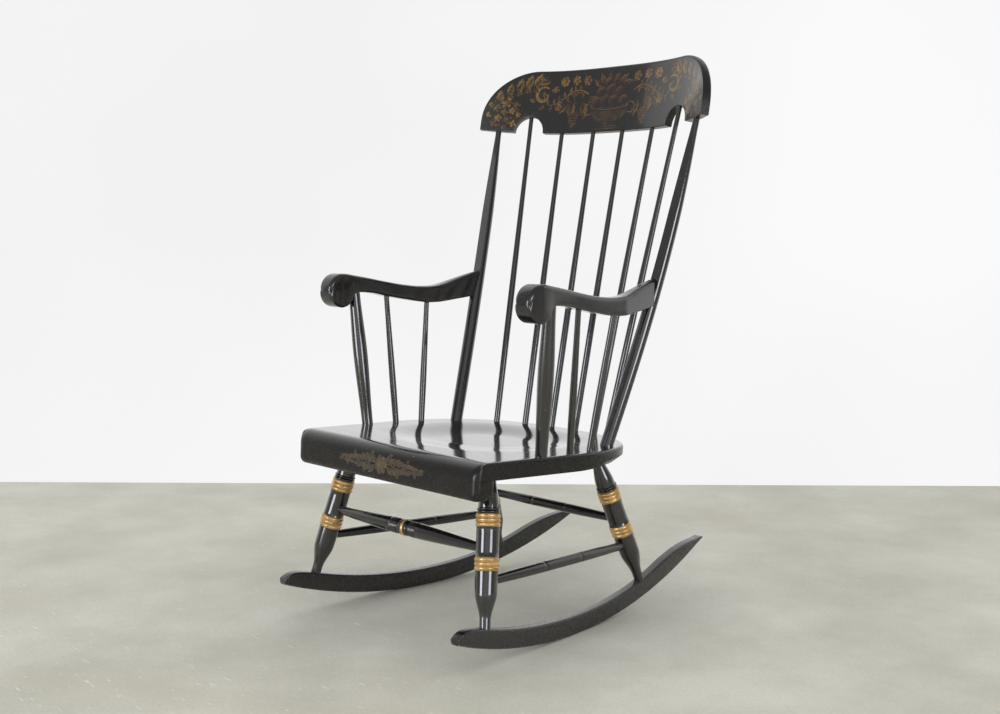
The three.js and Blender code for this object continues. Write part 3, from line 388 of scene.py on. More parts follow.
class Stencil:
    """Flat stamped shapes on a face. place(u, v, lift) brings a point of the face to the chair, left(u)
    is the share of the powder that rubbing has left there, and side is 1 or, for the far half, -1."""

    def __init__(self, place, left=lambda u: 1):
        self.place, self.left, self.side = place, left, 1
        self.points, self.faces, self.powder, self.tint = [], [], [], []
        self.count = 0

    def patch(self, rows, tint):
        """A grid of (u, v, powder) rows. Each patch lies a hair above the one before it."""
        self.count += 1
        lift = 0.03 + 0.0012 * (self.count % 64)
        start, width = len(self.points), len(rows[0])
        for row in rows:
            for u, v, powder in row:
                self.points.append(in_frame(self.place(u, v, lift)))
                self.powder.append(powder * self.left(u))
                self.tint.append(tint)
        for r in range(len(rows) - 1):
            for i in range(width - 1):
                a = start + r * width + i
                self.faces.append((a, a + 1, a + 1 + width, a + width))

    def leaf(self, u, v, angle, length, width, tint=0.0, bend=0.0, strength=1.0):
        """A pointed leaf with a dark vein, from its stalk at (u, v) along an angle in degrees."""
        if self.side < 0:
            u, angle, bend = -u, 180 - angle, -bend
        rows = []
        for i in range(13):
            s = i / 12
            turn = math.radians(angle + bend * s)
            along = Vector((math.cos(turn), math.sin(turn)))
            across = Vector((-along.y, along.x))
            half = width / 2 * math.sin(math.pi * s ** 0.8) * (1 - 0.15 * math.sin(6 * math.pi * s))
            middle = Vector((u, v)) + along * length * s
            # Dusted from the tip and from one side, so that it fades into the black along its other edge.
            rows.append([(*(middle + across * half * t),
                          strength * (0.78 + 0.22 * t) * (0.6 if abs(t) < 0.2 else 1) * mix(0.68, 1, s))
                         for t in (-1, -0.6, -0.12, 0.12, 0.6, 1)])
        self.patch(rows, tint)

    def disc(self, u, v, radius, tint=0.0, strength=1.0, shade=(0.5, 0.8), squash=1.0, turn=0.0, dark=0.08):
        """A round fruit or petal, dusted from one side so that it looks full."""
        rows = []
        for i in range(6):
            r = radius * i / 5
            row = []
            for k in range(21):
                angle = k / 20 * 2 * math.pi
                du, dv = r * math.cos(angle), r * squash * math.sin(angle)
                light = 0.5 + 0.5 * (du * shade[0] + dv * shade[1]) / max(radius, 0.01)
                powder = strength * min(1, dark + 0.8 * light ** 1.4 + 0.3 * (i / 5) ** 4)
                c, s = math.cos(turn), math.sin(turn)
                row.append((self.side * u + du * c - dv * s, v + du * s + dv * c, powder))
            rows.append(row)
        self.patch(rows, tint)

    def stroke(self, path, widths, tint=0.0, strength=0.8):
        """A brushed line along a path of (u, v) points, with its widths eased along it."""
        path = [(self.side * u, v) for u, v in path]
        rows = []
        for i, (u, v) in enumerate(path):
            before, after = Vector(path[max(0, i - 1)]), Vector(path[min(len(path) - 1, i + 1)])
            along = (after - before).normalized()
            share = i / (len(path) - 1) * (len(widths) - 1)
            low = min(int(share), len(widths) - 2)
            half = mix(widths[low], widths[low + 1], share - low) / 2
            rows.append([(u - along.y * half * t, v + along.x * half * t, strength * (1 - 0.3 * abs(t)))
                         for t in (1, 0.4, -0.4, -1)])
        self.patch(rows, tint)

    def blossom(self, u, v, radius, petals, tint=0.0, turn=0.0, strength=1.0):
        """A flower of round petals about a dark eye with a gold dot."""
        reach = radius * 0.6
        for k in range(petals):
            angle = turn + k / petals * 2 * math.pi
            c, s = math.cos(angle), math.sin(angle)
            self.disc(u + self.side * reach * c, v + reach * s, radius * 0.42, tint, strength, (c, s), 0.8,
                      angle, 0.3)
        self.disc(u, v, radius * 0.2, 0.1, 1.0)

    def finish(self, name, surface):
        piece = new_piece(name, self.points, self.faces, powder=self.powder, tint=self.tint)
        piece.data.materials.append(surface)
        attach(piece, "root")


def on_roll(u, v, lift):
    """A point of the rolled front, v along the surface from the middle of it, up and over the rounding."""
    past = v - ROLL_STENCIL_DROP + SEAT_FRONT_ROUND
    if past <= 0:
        return on_seat(u, -SEAT_FRONT - lift, v - ROLL_STENCIL_DROP)
    turn = past / SEAT_FRONT_ROUND
    reach = SEAT_FRONT_ROUND + lift
    return on_seat(u, SEAT_FRONT_ROUND - SEAT_FRONT - reach * math.cos(turn),
                   reach * math.sin(turn) - SEAT_FRONT_ROUND)


# Worn bronze stencil: brown ghosts of leaves, with most of the powder brushed away by legs.
roll_bronze = bronze_stencil("bronze_powder_stencil_worn", "#84682F", "#4C3A20", 0.4, 0.3)
roll_spray = Stencil(on_roll)
for side in (-1, 1):
    roll_spray.side = side
    roll_spray.stroke([(8 + 8 * i, 3 * math.sin(i * 0.9)) for i in range(14)], [2, 1.6, 1], 0.4, 0.9)
    for i in range(9):
        u = 14 + 11 * i
        uneven = 2.5 * math.sin(4 * i + side)
        roll_spray.leaf(u, 1, 66 - 5 * i, 24 - 1.4 * i + uneven, 10 - 0.5 * i, 0.1, -18)
        roll_spray.leaf(u + 4, -1, 5 * i - 64, 22 - 1.4 * i - uneven, 9.5 - 0.5 * i, 0.3, 18)
    for u, v, radius in ((25, 17, 5), (46, -15, 4.5), (73, 13, 4), (93, -9, 3.4)):
        roll_spray.disc(u, v, radius, 0.8)
roll_spray.blossom(0, 0, 17, 7, 0.35)
roll_spray.blossom(0, 0, 9, 5, 0.1, 0.4)
roll_spray.finish("seat_roll_stencil", roll_bronze)


# Rockers
# Two maple boards 20 mm thick, sawn to a long arc that turns up to a thin tail, with their edges
# eased. They are sprayed black and carry the scuffs and grey drag marks of the floor.

ROCKER_RADIUS = 918
ROCKER_LOW = 88
ROCKER_FRONT_REACH = 320
ROCKER_REAR_REACH = 410
ROCKER_THICKNESS = 20
ROCKER_DEPTH = 34
ROCKER_EDGE_ROUND = 3.5
ROCKER_EDGE_POINTS = 6
ROCKER_INSET = 44
ROCKER_SCUFFED_TIP = 45
ROCKER_TOE_IN = math.radians(5.4)
ROCKER_DEPTH_SHARES = [
    (0, 0.34), (0.009, 0.54), (0.024, 0.75), (0.045, 0.9), (0.075, 0.98), (0.12, 1.02), (0.32, 1.02),
    (0.48, 0.99), (0.6, 0.96), (0.69, 0.97), (0.76, 1.04), (0.815, 1.09), (0.86, 1.03), (0.905, 0.85),
    (0.945, 0.58), (0.98, 0.26), (1, 0.07),
]


def flowing(rows, at, column=1):
    """Reads a table on a smooth curve that doesn't swing past its rows."""
    last = len(rows) - 1
    i = 0
    while i < last - 1 and rows[i + 1][0] < at:
        i += 1
    span = [rows[k + 1][0] - rows[k][0] for k in range(last)]
    rise = [(rows[k + 1][column] - rows[k][column]) / span[k] for k in range(last)]

    def slope(k):
        if k in (0, last):
            return rise[0 if k == 0 else last - 1]
        if rise[k - 1] * rise[k] <= 0:
            return 0
        return 2 / (1 / rise[k - 1] + 1 / rise[k])

    s = min(1, max(0, (at - rows[i][0]) / span[i]))
    low, high = rows[i][column], rows[i + 1][column]
    a, b = slope(i) * span[i], slope(i + 1) * span[i]
    return (low * (2 * s ** 3 - 3 * s ** 2 + 1) + a * (s ** 3 - 2 * s ** 2 + s)
            + high * (3 * s ** 2 - 2 * s ** 3) + b * (s ** 3 - s ** 2))


def rounded(corners, count):
    """A section's outline, a quarter turn of points about each corner (across, up, radius, start)."""
    section = []
    for across, up, radius, start in corners:
        for step in range(count):
            angle = math.radians(start + step * 90 / (count - 1))
            section.append((across + radius * math.cos(angle), up + radius * math.sin(angle)))
    return section


def rocker_underside(along):
    return ROCKER_RADIUS - math.sqrt(ROCKER_RADIUS ** 2 - along ** 2)


def rocker_depth(along):
    return ROCKER_DEPTH * flowing(ROCKER_DEPTH_SHARES,
                                  (along + ROCKER_FRONT_REACH) / (ROCKER_FRONT_REACH + ROCKER_REAR_REACH))


def in_rocker(sign, x, along, z):
    return (Matrix.Rotation(sign * ROCKER_TOE_IN, 3, "Z") @ Vector((x, along, z))
            + Vector((sign * (SEAT_HALF_WIDTH - ROCKER_INSET), -ROCKER_LOW, 0)))


def on_rocker(sign, y):
    along = (y + ROCKER_LOW) / math.cos(ROCKER_TOE_IN)
    return in_rocker(sign, 0, along, rocker_underside(along) + rocker_depth(along))


def rocker_ring(sign, along):
    half = ROCKER_THICKNESS / 2
    low = rocker_underside(along)
    high = low + rocker_depth(along)
    ease = min(ROCKER_EDGE_ROUND, (high - low) / 3)
    section = rounded(((half - ease, low + ease, ease, -90), (half - ease, high - ease, ease, 0),
                       (ease - half, high - ease, ease, 90), (ease - half, low + ease, ease, 180)),
                      ROCKER_EDGE_POINTS)
    return [in_rocker(sign, x, along, z) for x, z in section]


# Satin rocker lacquer: duller than the seat, dusty and scuffed through to the brown primer on its edges.
rocker_lacquer = black_lacquer("black_lacquer_scuffed_on_rockers", 0.24, 0.1, 0.6, 0.08, "#54483C", "#8F8878",
                               clear=0.6, coat_rough=0.25)

rocker_places = sorted(set([mix(ROCKER_REAR_REACH, -ROCKER_FRONT_REACH, i / 140) for i in range(141)]
                           + [-ROCKER_FRONT_REACH + 2.5 * i for i in range(1, 9)]), reverse=True)


def rocker_wear(r, i):
    """Most on the two lower corners and the front tip, least on the flat sides."""
    corner = 1 - abs(i % ROCKER_EDGE_POINTS - 2.5) / 2.5
    front = smooth(1 - (rocker_places[r] + ROCKER_FRONT_REACH) / ROCKER_SCUFFED_TIP)
    under = 0.75 if i < ROCKER_EDGE_POINTS or i >= 3 * ROCKER_EDGE_POINTS else 0.42
    return min(1, under * corner + 0.55 * front * (0.4 + 0.6 * corner))


for side, sign in SIDES:
    rocker = skin(f"rocker_{side}_sawn", [rocker_ring(sign, along) for along in rocker_places], rocker_wear)
    stand_for(rocker, f"rocker_{side}", rocker_lacquer)


# Legs
# Four maple legs turned on a lathe, splayed between the seat and the rockers: a thin neck, a swelling,
# and two bands of three rings gilded with bronze powder, with a pair of black beads under the seat.

FRONT_FOOT_SETBACK = 27
FRONT_LEG_SEAT_INSET = 70.5
FRONT_LEG_SEAT_SETBACK = 87
REAR_FOOT_Y = 110
REAR_LEG_SEAT_INSET = 95
REAR_LEG_SEAT_Y = 22
LEG_SHAFT_RADIUS = 19.5
LEG_RING_RADIUS = 21.3
LEG_RING_WIDTH = 7.4
LEG_RING_COUNT = 3
LEG_BEAD_RADIUS = 20
LEG_BEAD_WIDTH = 4.6
LEG_BEAD_COUNT = 2
LEG_LOWER_RADIUS = 18.8
LEG_NECK_RADIUS = 9.4
LEG_TOP_RADIUS = 10.6
LEG_SHOULDER_RADIUS = 17.8
LEG_BANDS = {"front": 104.5, "rear": 109.5}
LEG_BAND_SPACING = 73
LEG_NECK_SHARE = 0.12
LEG_SWELL_SHARE = 0.56
FOOT_SCRIBE = 4
LEG_TENON_LENGTH = 12


def turned(name, profile, foot, head, sides=48, streak=0.0):
    """A profile of (place along, radius, worn, gilt) turned about the line from a foot to a head. Its
    worn patches follow a slow noise, so no two pieces wear alike."""
    along = (head - foot).normalized()
    across = along.orthogonal().normalized()
    other = along.cross(across)
    angles = [2 * math.pi * i / sides for i in range(sides)]
    rings = [[foot + along * place + (across * math.cos(a) + other * math.sin(a)) * radius for a in angles]
             for place, radius, *_ in profile]

    def worn(r, i):
        patch = noise.noise(in_frame(rings[r][i]) * 9 + Vector((len(name), 0, 0)))
        return max(0, min(1, profile[r][2] + streak * patch))

    return skin(name, rings, worn, [row[3] for row in profile], crease=50)


def eased(start, end, worn=0.1, steps=14):
    """Rows on an S curve between two (place, radius) pairs, without the last."""
    return [(mix(start[0], end[0], i / steps), mix(start[1], end[1], smooth(i / steps)), worn, False)
            for i in range(steps)]


def half_rounds(start, width, count, valley, crown, gilt):
    """Rows of rings side by side, most worn at their crowns."""
    rows = []
    for i in range(count):
        for step in range(10):
            arch = math.sin(math.pi * step / 10)
            rows.append((start + width * (i + step / 10), mix(valley, crown, arch ** 0.8), 0.42 * arch, gilt))
    return rows + [(start + width * count, valley, 0, False)]


def leg_profile(length, band):
    reach = LEG_RING_WIDTH * LEG_RING_COUNT / 2
    lower, upper = band - reach, band + LEG_BAND_SPACING - reach
    beads = upper + 2 * reach
    shoulder = beads + LEG_BEAD_COUNT * LEG_BEAD_WIDTH
    neck, swell, top = band * LEG_NECK_SHARE, band * LEG_SWELL_SHARE, length - LEG_BEAD_WIDTH
    rings = LEG_RING_WIDTH, LEG_RING_COUNT, LEG_SHAFT_RADIUS, LEG_RING_RADIUS, True
    rows = [(-FOOT_SCRIBE, LEG_NECK_RADIUS, 0.3, False)]
    rows += eased((neck, LEG_NECK_RADIUS), (swell, LEG_LOWER_RADIUS), 0.16, 20)
    rows += [(swell, LEG_LOWER_RADIUS, 0.16, False), (lower - 1.2, LEG_SHAFT_RADIUS, 0.1, False)]
    rows += half_rounds(lower, *rings)
    rows += [(mix(lower + 2 * reach, upper, s / 6), LEG_SHAFT_RADIUS, 0.1, False) for s in range(1, 6)]
    rows += half_rounds(upper, *rings)[:-1]
    rows += half_rounds(beads, LEG_BEAD_WIDTH, LEG_BEAD_COUNT, LEG_SHOULDER_RADIUS, LEG_BEAD_RADIUS, False)
    rows += eased((shoulder + LEG_BEAD_WIDTH, LEG_SHOULDER_RADIUS), (top, LEG_TOP_RADIUS))
    return rows + [(top, LEG_TOP_RADIUS, 0, False), (length + LEG_TENON_LENGTH, LEG_TOP_RADIUS, 0, False)]


# Glossy turned lacquer: clean bright streaks down the round work, with small chips of bare maple.
turned_lacquer = black_lacquer("black_lacquer_glossy_on_turned_maple", 0.1, 0.09, 0.46, 0.05, clear=1.0,
                               coat_rough=0.07)

# Gilding: satin gold, broken by black where feet have rubbed it.
# Brush laps and tarnish shift the gold over 15 mm, and the powder's grain shows at about 1 mm.
look = Look(bpy.data.materials.new("bronze_powder_gilding_on_rings"))
gold = look.blend(look.ramp(look.cloud(70, 3), 0.3, 0.7), "#AF8951", "#DEBB80")
powder_grain = look.cloud(950, 4, 0.65)
worn_gold = look.maths("MULTIPLY_ADD", look.mark("rubbed"), 0.58, look.cloud(150, 6, 0.7))
through = look.ramp(worn_gold, 0.8, 0.85)
gilding = look.done("BsdfPrincipled", {
    "Base Color": look.blend(through, gold, "#241A12"), "Metallic": look.ramp(through, 0, 1, 0.65, 0),
    "Roughness": look.ramp(powder_grain, 0.3, 0.7, 0.24, 0.4),
    "Normal": look.bump(powder_grain, 0.2, 0.0001, look.bump(through, 0.4, 0.00015, sunk=True)),
})

leg_lines = {}
for end in ("front", "rear"):
    for side, sign in SIDES:
        if end == "front":
            foot = on_rocker(sign, FRONT_FOOT_SETBACK - SEAT_FRONT)
            inset, y = FRONT_LEG_SEAT_INSET, FRONT_LEG_SEAT_SETBACK - SEAT_FRONT
        else:
            foot = on_rocker(sign, REAR_FOOT_Y)
            inset, y = REAR_LEG_SEAT_INSET, REAR_LEG_SEAT_Y
        head = on_seat(sign * (SEAT_HALF_WIDTH - inset), y, -SEAT_THICKNESS)
        leg_lines[f"{end}_{side}"] = (foot, (head - foot).normalized())
        leg = turned(f"{end}_leg_{side}_turned", leg_profile((head - foot).length, LEG_BANDS[end]),
                     foot, head, 56, 0.25)
        stand_for(leg, f"{end}_leg_{side}", turned_lacquer, gilding)


# Stretchers
# Three plain stretchers with two scored lines, and a front one with a ringed ball between reeds, all
# turned in maple and glued into the legs. Heels have scuffed the front one along its top.

FRONT_STRETCHER_RISE = 129
REAR_STRETCHER_RISE = 130
SIDE_STRETCHER_RISE = 75
STRETCHER_END_RADIUS = 7.6
STRETCHER_HOLE_DEPTH = 13
PLAIN_STRETCHER_RADIUS = 9.4
SCORE_DEPTH = 0.5
SCORE_WIDTH = 1.4
SCORE_SHARE = 0.36
FRONT_STRETCHER_RADIUS = 14
BALL_RADIUS = 15
BALL_LENGTH = 24
BALL_BEAD_RADIUS = 14.4
BALL_RING_RISE = 1.2
BALL_RING_START = 3.3
COVE_RADIUS = 11.5
COVE_WIDTH = 5
REED_WIDTH = 4.5
REED_COUNT = 4
REED_BULGE = 0.8


def plain_stretcher_profile(length):
    score = STRETCHER_HOLE_DEPTH + SCORE_SHARE * (length - 2 * STRETCHER_HOLE_DEPTH)
    half = [(0, STRETCHER_END_RADIUS, 0, False)]
    half += [(mix(STRETCHER_HOLE_DEPTH, score - SCORE_WIDTH, i / 24),
              mix(STRETCHER_END_RADIUS, PLAIN_STRETCHER_RADIUS, math.sin(i / 24 * math.pi / 2)), 0.2, False)
             for i in range(25)]
    half.append((score, PLAIN_STRETCHER_RADIUS - SCORE_DEPTH, 0, False))
    half += [(mix(score + SCORE_WIDTH, length / 2, i / 8), PLAIN_STRETCHER_RADIUS, 0.22, False)
             for i in range(8)]
    return half + [(length - along, *rest) for along, *rest in reversed(half)]


def front_stretcher_profile(length):
    middle, ball, crown = length / 2, BALL_LENGTH / 2, FRONT_STRETCHER_RADIUS
    cove = middle - ball - COVE_WIDTH
    reeds = cove - REED_WIDTH * REED_COUNT
    half = [(0, STRETCHER_END_RADIUS, 0, False)]
    for i in range(31):
        share = i / 30
        half.append((mix(STRETCHER_HOLE_DEPTH, reeds - COVE_WIDTH, share),
                     mix(STRETCHER_END_RADIUS, crown, share + 0.06 * math.sin(share * math.pi)), 0.28, False))
    for i in range(REED_COUNT):
        for step in range(6):
            arch = math.sin(math.pi * step / 6)
            half.append((reeds + REED_WIDTH * (i + step / 6), crown - REED_BULGE * (1 - arch), 0.3 * arch,
                         False))
    for step in range(7):
        share = step / 6
        half.append((mix(cove, middle - ball, share),
                     mix(crown - REED_BULGE, COVE_RADIUS, math.sin(share * math.pi / 2) ** 0.6), 0.05, False))
    # The ball is a gilded ring between two black beads.
    for step in range(1, 9):
        bulge = smooth(step / 8) * 0.55 + 0.45 * math.sin(math.pi * step / 8)
        half.append((middle - ball + step * (ball - 3.6) / 8, mix(COVE_RADIUS + 1.2, BALL_BEAD_RADIUS, bulge),
                     0.2, False))
    foot_radius, start = BALL_RADIUS - BALL_RING_RISE, middle - BALL_RING_START
    half.append((start, foot_radius, 0.1, True))
    half += [(start + step * 0.6, foot_radius + BALL_RING_RISE * math.sin(step / 5.5 * math.pi / 2),
              0.3, True) for step in range(1, 6)]
    # Seen from the other end, each row's gilding is that of the row before it.
    mirrored = [(length - along, *rest) for along, *rest in reversed(half)]
    return half + [(*row[:3], mirrored[min(i + 1, len(mirrored) - 1)][3]) for i, row in enumerate(mirrored)]


# Foot-worn lacquer: satin, with heel scuffs that show pale wood along the stretchers.
stretcher_lacquer = black_lacquer("black_lacquer_heel_worn_on_stretchers", 0.17, 0.12, 0.6, 0.06, clear=0.7)


def stretcher(name, from_leg, to_leg, rise, profile, *surfaces):
    start, end = (leg_lines[leg][0] + leg_lines[leg][1] * rise for leg in (from_leg, to_leg))
    into_leg = (end - start).normalized() * (LEG_SHAFT_RADIUS - STRETCHER_HOLE_DEPTH)
    start += into_leg
    end -= into_leg
    piece = turned(f"{name}_turned", profile((end - start).length), start, end, 40, 0.55)
    stand_for(piece, name, *surfaces)


stretcher("front_stretcher", "front_right", "front_left", FRONT_STRETCHER_RISE, front_stretcher_profile,
          stretcher_lacquer, gilding)
stretcher("rear_stretcher", "rear_right", "rear_left", REAR_STRETCHER_RISE, plain_stretcher_profile,
          stretcher_lacquer)
for side, sign in SIDES:
    stretcher(f"side_stretcher_{side}", f"front_{side}", f"rear_{side}", SIDE_STRETCHER_RISE,
              plain_stretcher_profile, stretcher_lacquer)


# Crest rail
# A thick maple board steamed and bent to the sitter's shoulders, with rounded upper corners, two round
# notches below, and the chair's widest face. Its whole front is stencilled in bronze powders.

CREST_HALF_WIDTH = 291
CREST_HEIGHT = 134
CREST_THICKNESS = 16
CREST_SWEEP = 75
CREST_SWEEP_POWER = 2.75
CREST_CROWN = 4.5
CREST_CORNER_RADIUS = 105
CREST_TOP_ROUND = 6
CREST_BOTTOM_ROUND = 1.5
CREST_EDGE_POINTS = 7
CREST_FLAT_POINTS = 8
CREST_WORN_POINTS = (3, 4, 9, 10)
CREST_WORN_END = 36
CREST_RECLINE = math.radians(10.9)
CREST_SETBACK = 222.5
CREST_BOTTOM_HEIGHT = 914
CREST_NOTCH_RADIUS = 34
NOTCH_SHARE = 0.67


def crest_face(x):
    return -CREST_SWEEP * (abs(x) / CREST_HALF_WIDTH) ** CREST_SWEEP_POWER


def crest_slope(x):
    share = (abs(x) / CREST_HALF_WIDTH) ** (CREST_SWEEP_POWER - 1)
    return -math.copysign(1, x) * CREST_SWEEP * CREST_SWEEP_POWER / CREST_HALF_WIDTH * share


def on_crest(x, depth, height=0):
    """A point at x along the rail, some depth behind its face and some height above its lower edge."""
    slope = crest_slope(x)
    unit = 1 / math.hypot(1, slope)
    flat = Vector((x - depth * slope * unit, crest_face(x) + depth * unit, height))
    return (Matrix.Rotation(-CREST_RECLINE, 3, "X") @ flat
            + Vector((0, CREST_SETBACK, CREST_BOTTOM_HEIGHT)))


notch_middle = CREST_HALF_WIDTH * NOTCH_SHARE
notch_stretch = math.hypot(1, crest_slope(notch_middle))
notch_reach = CREST_NOTCH_RADIUS / notch_stretch


def crest_top(x):
    crowned = CREST_HEIGHT - CREST_CROWN * (x / CREST_HALF_WIDTH) ** 2
    past = abs(x) - (CREST_HALF_WIDTH - CREST_CORNER_RADIUS)
    if past <= 0:
        return crowned
    return crowned - CREST_CORNER_RADIUS + math.sqrt(max(0, CREST_CORNER_RADIUS ** 2 - past ** 2))


def crest_bottom(x):
    across = (abs(x) - notch_middle) * notch_stretch
    return math.sqrt(max(0, CREST_NOTCH_RADIUS ** 2 - across ** 2))


def crest_ring(x):
    """A section: the two lower edges, up the back, the two upper edges, and down the face."""
    top, bottom = crest_top(x), crest_bottom(x)
    b, back = CREST_BOTTOM_ROUND, CREST_THICKNESS
    r = min(CREST_TOP_ROUND, (top - bottom) / 2.5)
    low, high = bottom + b, top - r
    lower = rounded(((b, low, b, 180), (back - b, low, b, 270)), CREST_EDGE_POINTS)
    upper = rounded(((back - r, high, r, 0), (r, high, r, 90)), CREST_EDGE_POINTS)
    steps = [s / (CREST_FLAT_POINTS + 1) for s in range(1, CREST_FLAT_POINTS + 1)]
    rows = lower + [(back, mix(low, high, s)) for s in steps]
    rows += upper + [(0, mix(high, low, s)) for s in steps]
    return [on_crest(x, depth, height) for depth, height in rows]


crest_places = [CREST_HALF_WIDTH * math.sin(math.pi * (i / 150 - 0.5)) for i in range(151)]
crest_places = [x for x in crest_places if abs(abs(x) - notch_middle) > notch_reach]
for sign in (-1, 1):
    crest_places += [sign * notch_middle + notch_reach * math.cos(math.pi * i / 48) for i in range(49)]
crest_places.sort()
crest_lower_end = 2 * CREST_EDGE_POINTS
crest_upper_start = crest_lower_end + CREST_FLAT_POINTS
crest_upper_end = crest_upper_start + 2 * CREST_EDGE_POINTS


def crest_wear(r, i):
    """Worn along the lower edge and the ends, where hands lift and rock the chair."""
    end = smooth((abs(crest_places[r]) - CREST_HALF_WIDTH + CREST_WORN_END) / CREST_WORN_END)
    if i < crest_lower_end:
        return 0.62 if i in CREST_WORN_POINTS else 0.3
    if crest_upper_start <= i < crest_upper_end:
        return 0.34 + 0.12 * end
    return 0.1 * end


# Glossy on the face only: the rail's edges and back are satin, rubbed through to a red brown.
crest_lacquer = black_lacquer("black_lacquer_rubbed_on_bent_maple", 0.15, 0.1, 0.5, 0.06, "#6B4431",
                              clear=0.7, faces_only=True)
crest = skin("crest_rail_bent", [crest_ring(x) for x in crest_places], crest_wear, crease=40,
             polished=lambda r, i: i >= crest_upper_end - 1 or i == 0)
stand_for(crest, "crest_rail", crest_lacquer)


def on_crest_face(u, v, lift):
    return on_crest(u, -lift, v)


def arc(u, v, radius, start, end, steps=18, grow=0.0):
    """Points on an arc or spiral about (u, v), between two angles in degrees."""
    points = []
    for i in range(steps + 1):
        angle = math.radians(mix(start, end, i / steps))
        reach = radius * (1 + grow * i / steps)
        points.append((u + reach * math.cos(angle), v + reach * math.sin(angle)))
    return points


# Bronze stencil in old gold, green gold and copper: each shape is bright on one side and sinks into
# the black on the other, and the whole has dulled under yellowed varnish.
crest_bronze = bronze_stencil("bronze_powder_stencil_shaded", "#9A7532", "#673A26", 0.5, 0.16)
# Heads have rubbed the middle of the rail.
spray = Stencil(on_crest_face, lambda u: mix(0.9, 1, smooth(abs(u) / 180)))

SCROLL_AT = (172, 80)
POSY_AT = (251, 41)

# A low fluted bowl of plums, pears and berries stands in the middle, on two steps.
for row in range(6):
    height = mix(45, 20, row / 5)
    half = 52 * math.sqrt(1 - (row / 5.6) ** 2)
    spray.stroke([(u, height + 6 * (u / 52) ** 2) for u in [mix(-half, half, i / 24) for i in range(25)]],
                 [1.6, 2.6, 1.6], 0.45, 0.75 if row == 0 else 0.42)
for k in range(-9, 10):
    spray.stroke([(k * 5.2, 42), (k * 4.3, 31), (k * 2.8, 21)], [2.6, 2, 1], 0.55, 0.62)
for k in range(-6, 7):
    spray.disc(k * 7.4, 47.5 + 6 * (k / 7) ** 2, 1.9, 0.2, 0.9)
for half, height, width in ((14, 16, 3), (24, 11, 3.4), (33, 6, 2.6)):
    spray.stroke([(mix(-half, half, i / 10), height) for i in range(11)], [width * 0.7, width, width * 0.7],
                 0.5, 0.6)
for side in (-1, 1):
    spray.side = side
    spray.stroke(arc(56, 47, 11, -130, 160, 16), [3.6, 2.6, 1.2], 0.3, 0.8)
for u, v, radius, tint in ((-35, 61, 12, 0.9), (-13, 64, 14, 1.0), (12, 62, 14.5, 0.95), (36, 63, 11, 0.85),
                           (-25, 82, 12, 0.8), (0, 85, 13, 0.95), (24, 81, 11.5, 1.0), (-9, 102, 9.5, 0.75),
                           (13, 101, 9, 0.9)):
    spray.disc(u, v, radius, tint, 0.85, (-0.5, 0.8), 0.94)
    spray.stroke(arc(u, v, radius * 0.62, 60, 170, 8), [0.8, 1.8, 0.8], tint * 0.5, 0.8)
for i in range(12):
    spray.disc(-55 + 5.4 * (i % 4) + 2.5 * (i // 4 % 2), 60 + 5.4 * (i // 4), 3.3, 0.5, 0.9)
for angle, length in ((158, 27), (132, 25), (104, 19), (76, 19), (48, 26), (22, 28)):
    turn = math.radians(angle)
    spray.leaf(2 + 30 * math.cos(turn), 90 + 12 * math.sin(turn), angle, length, 11, 0.25, -12, 0.85)

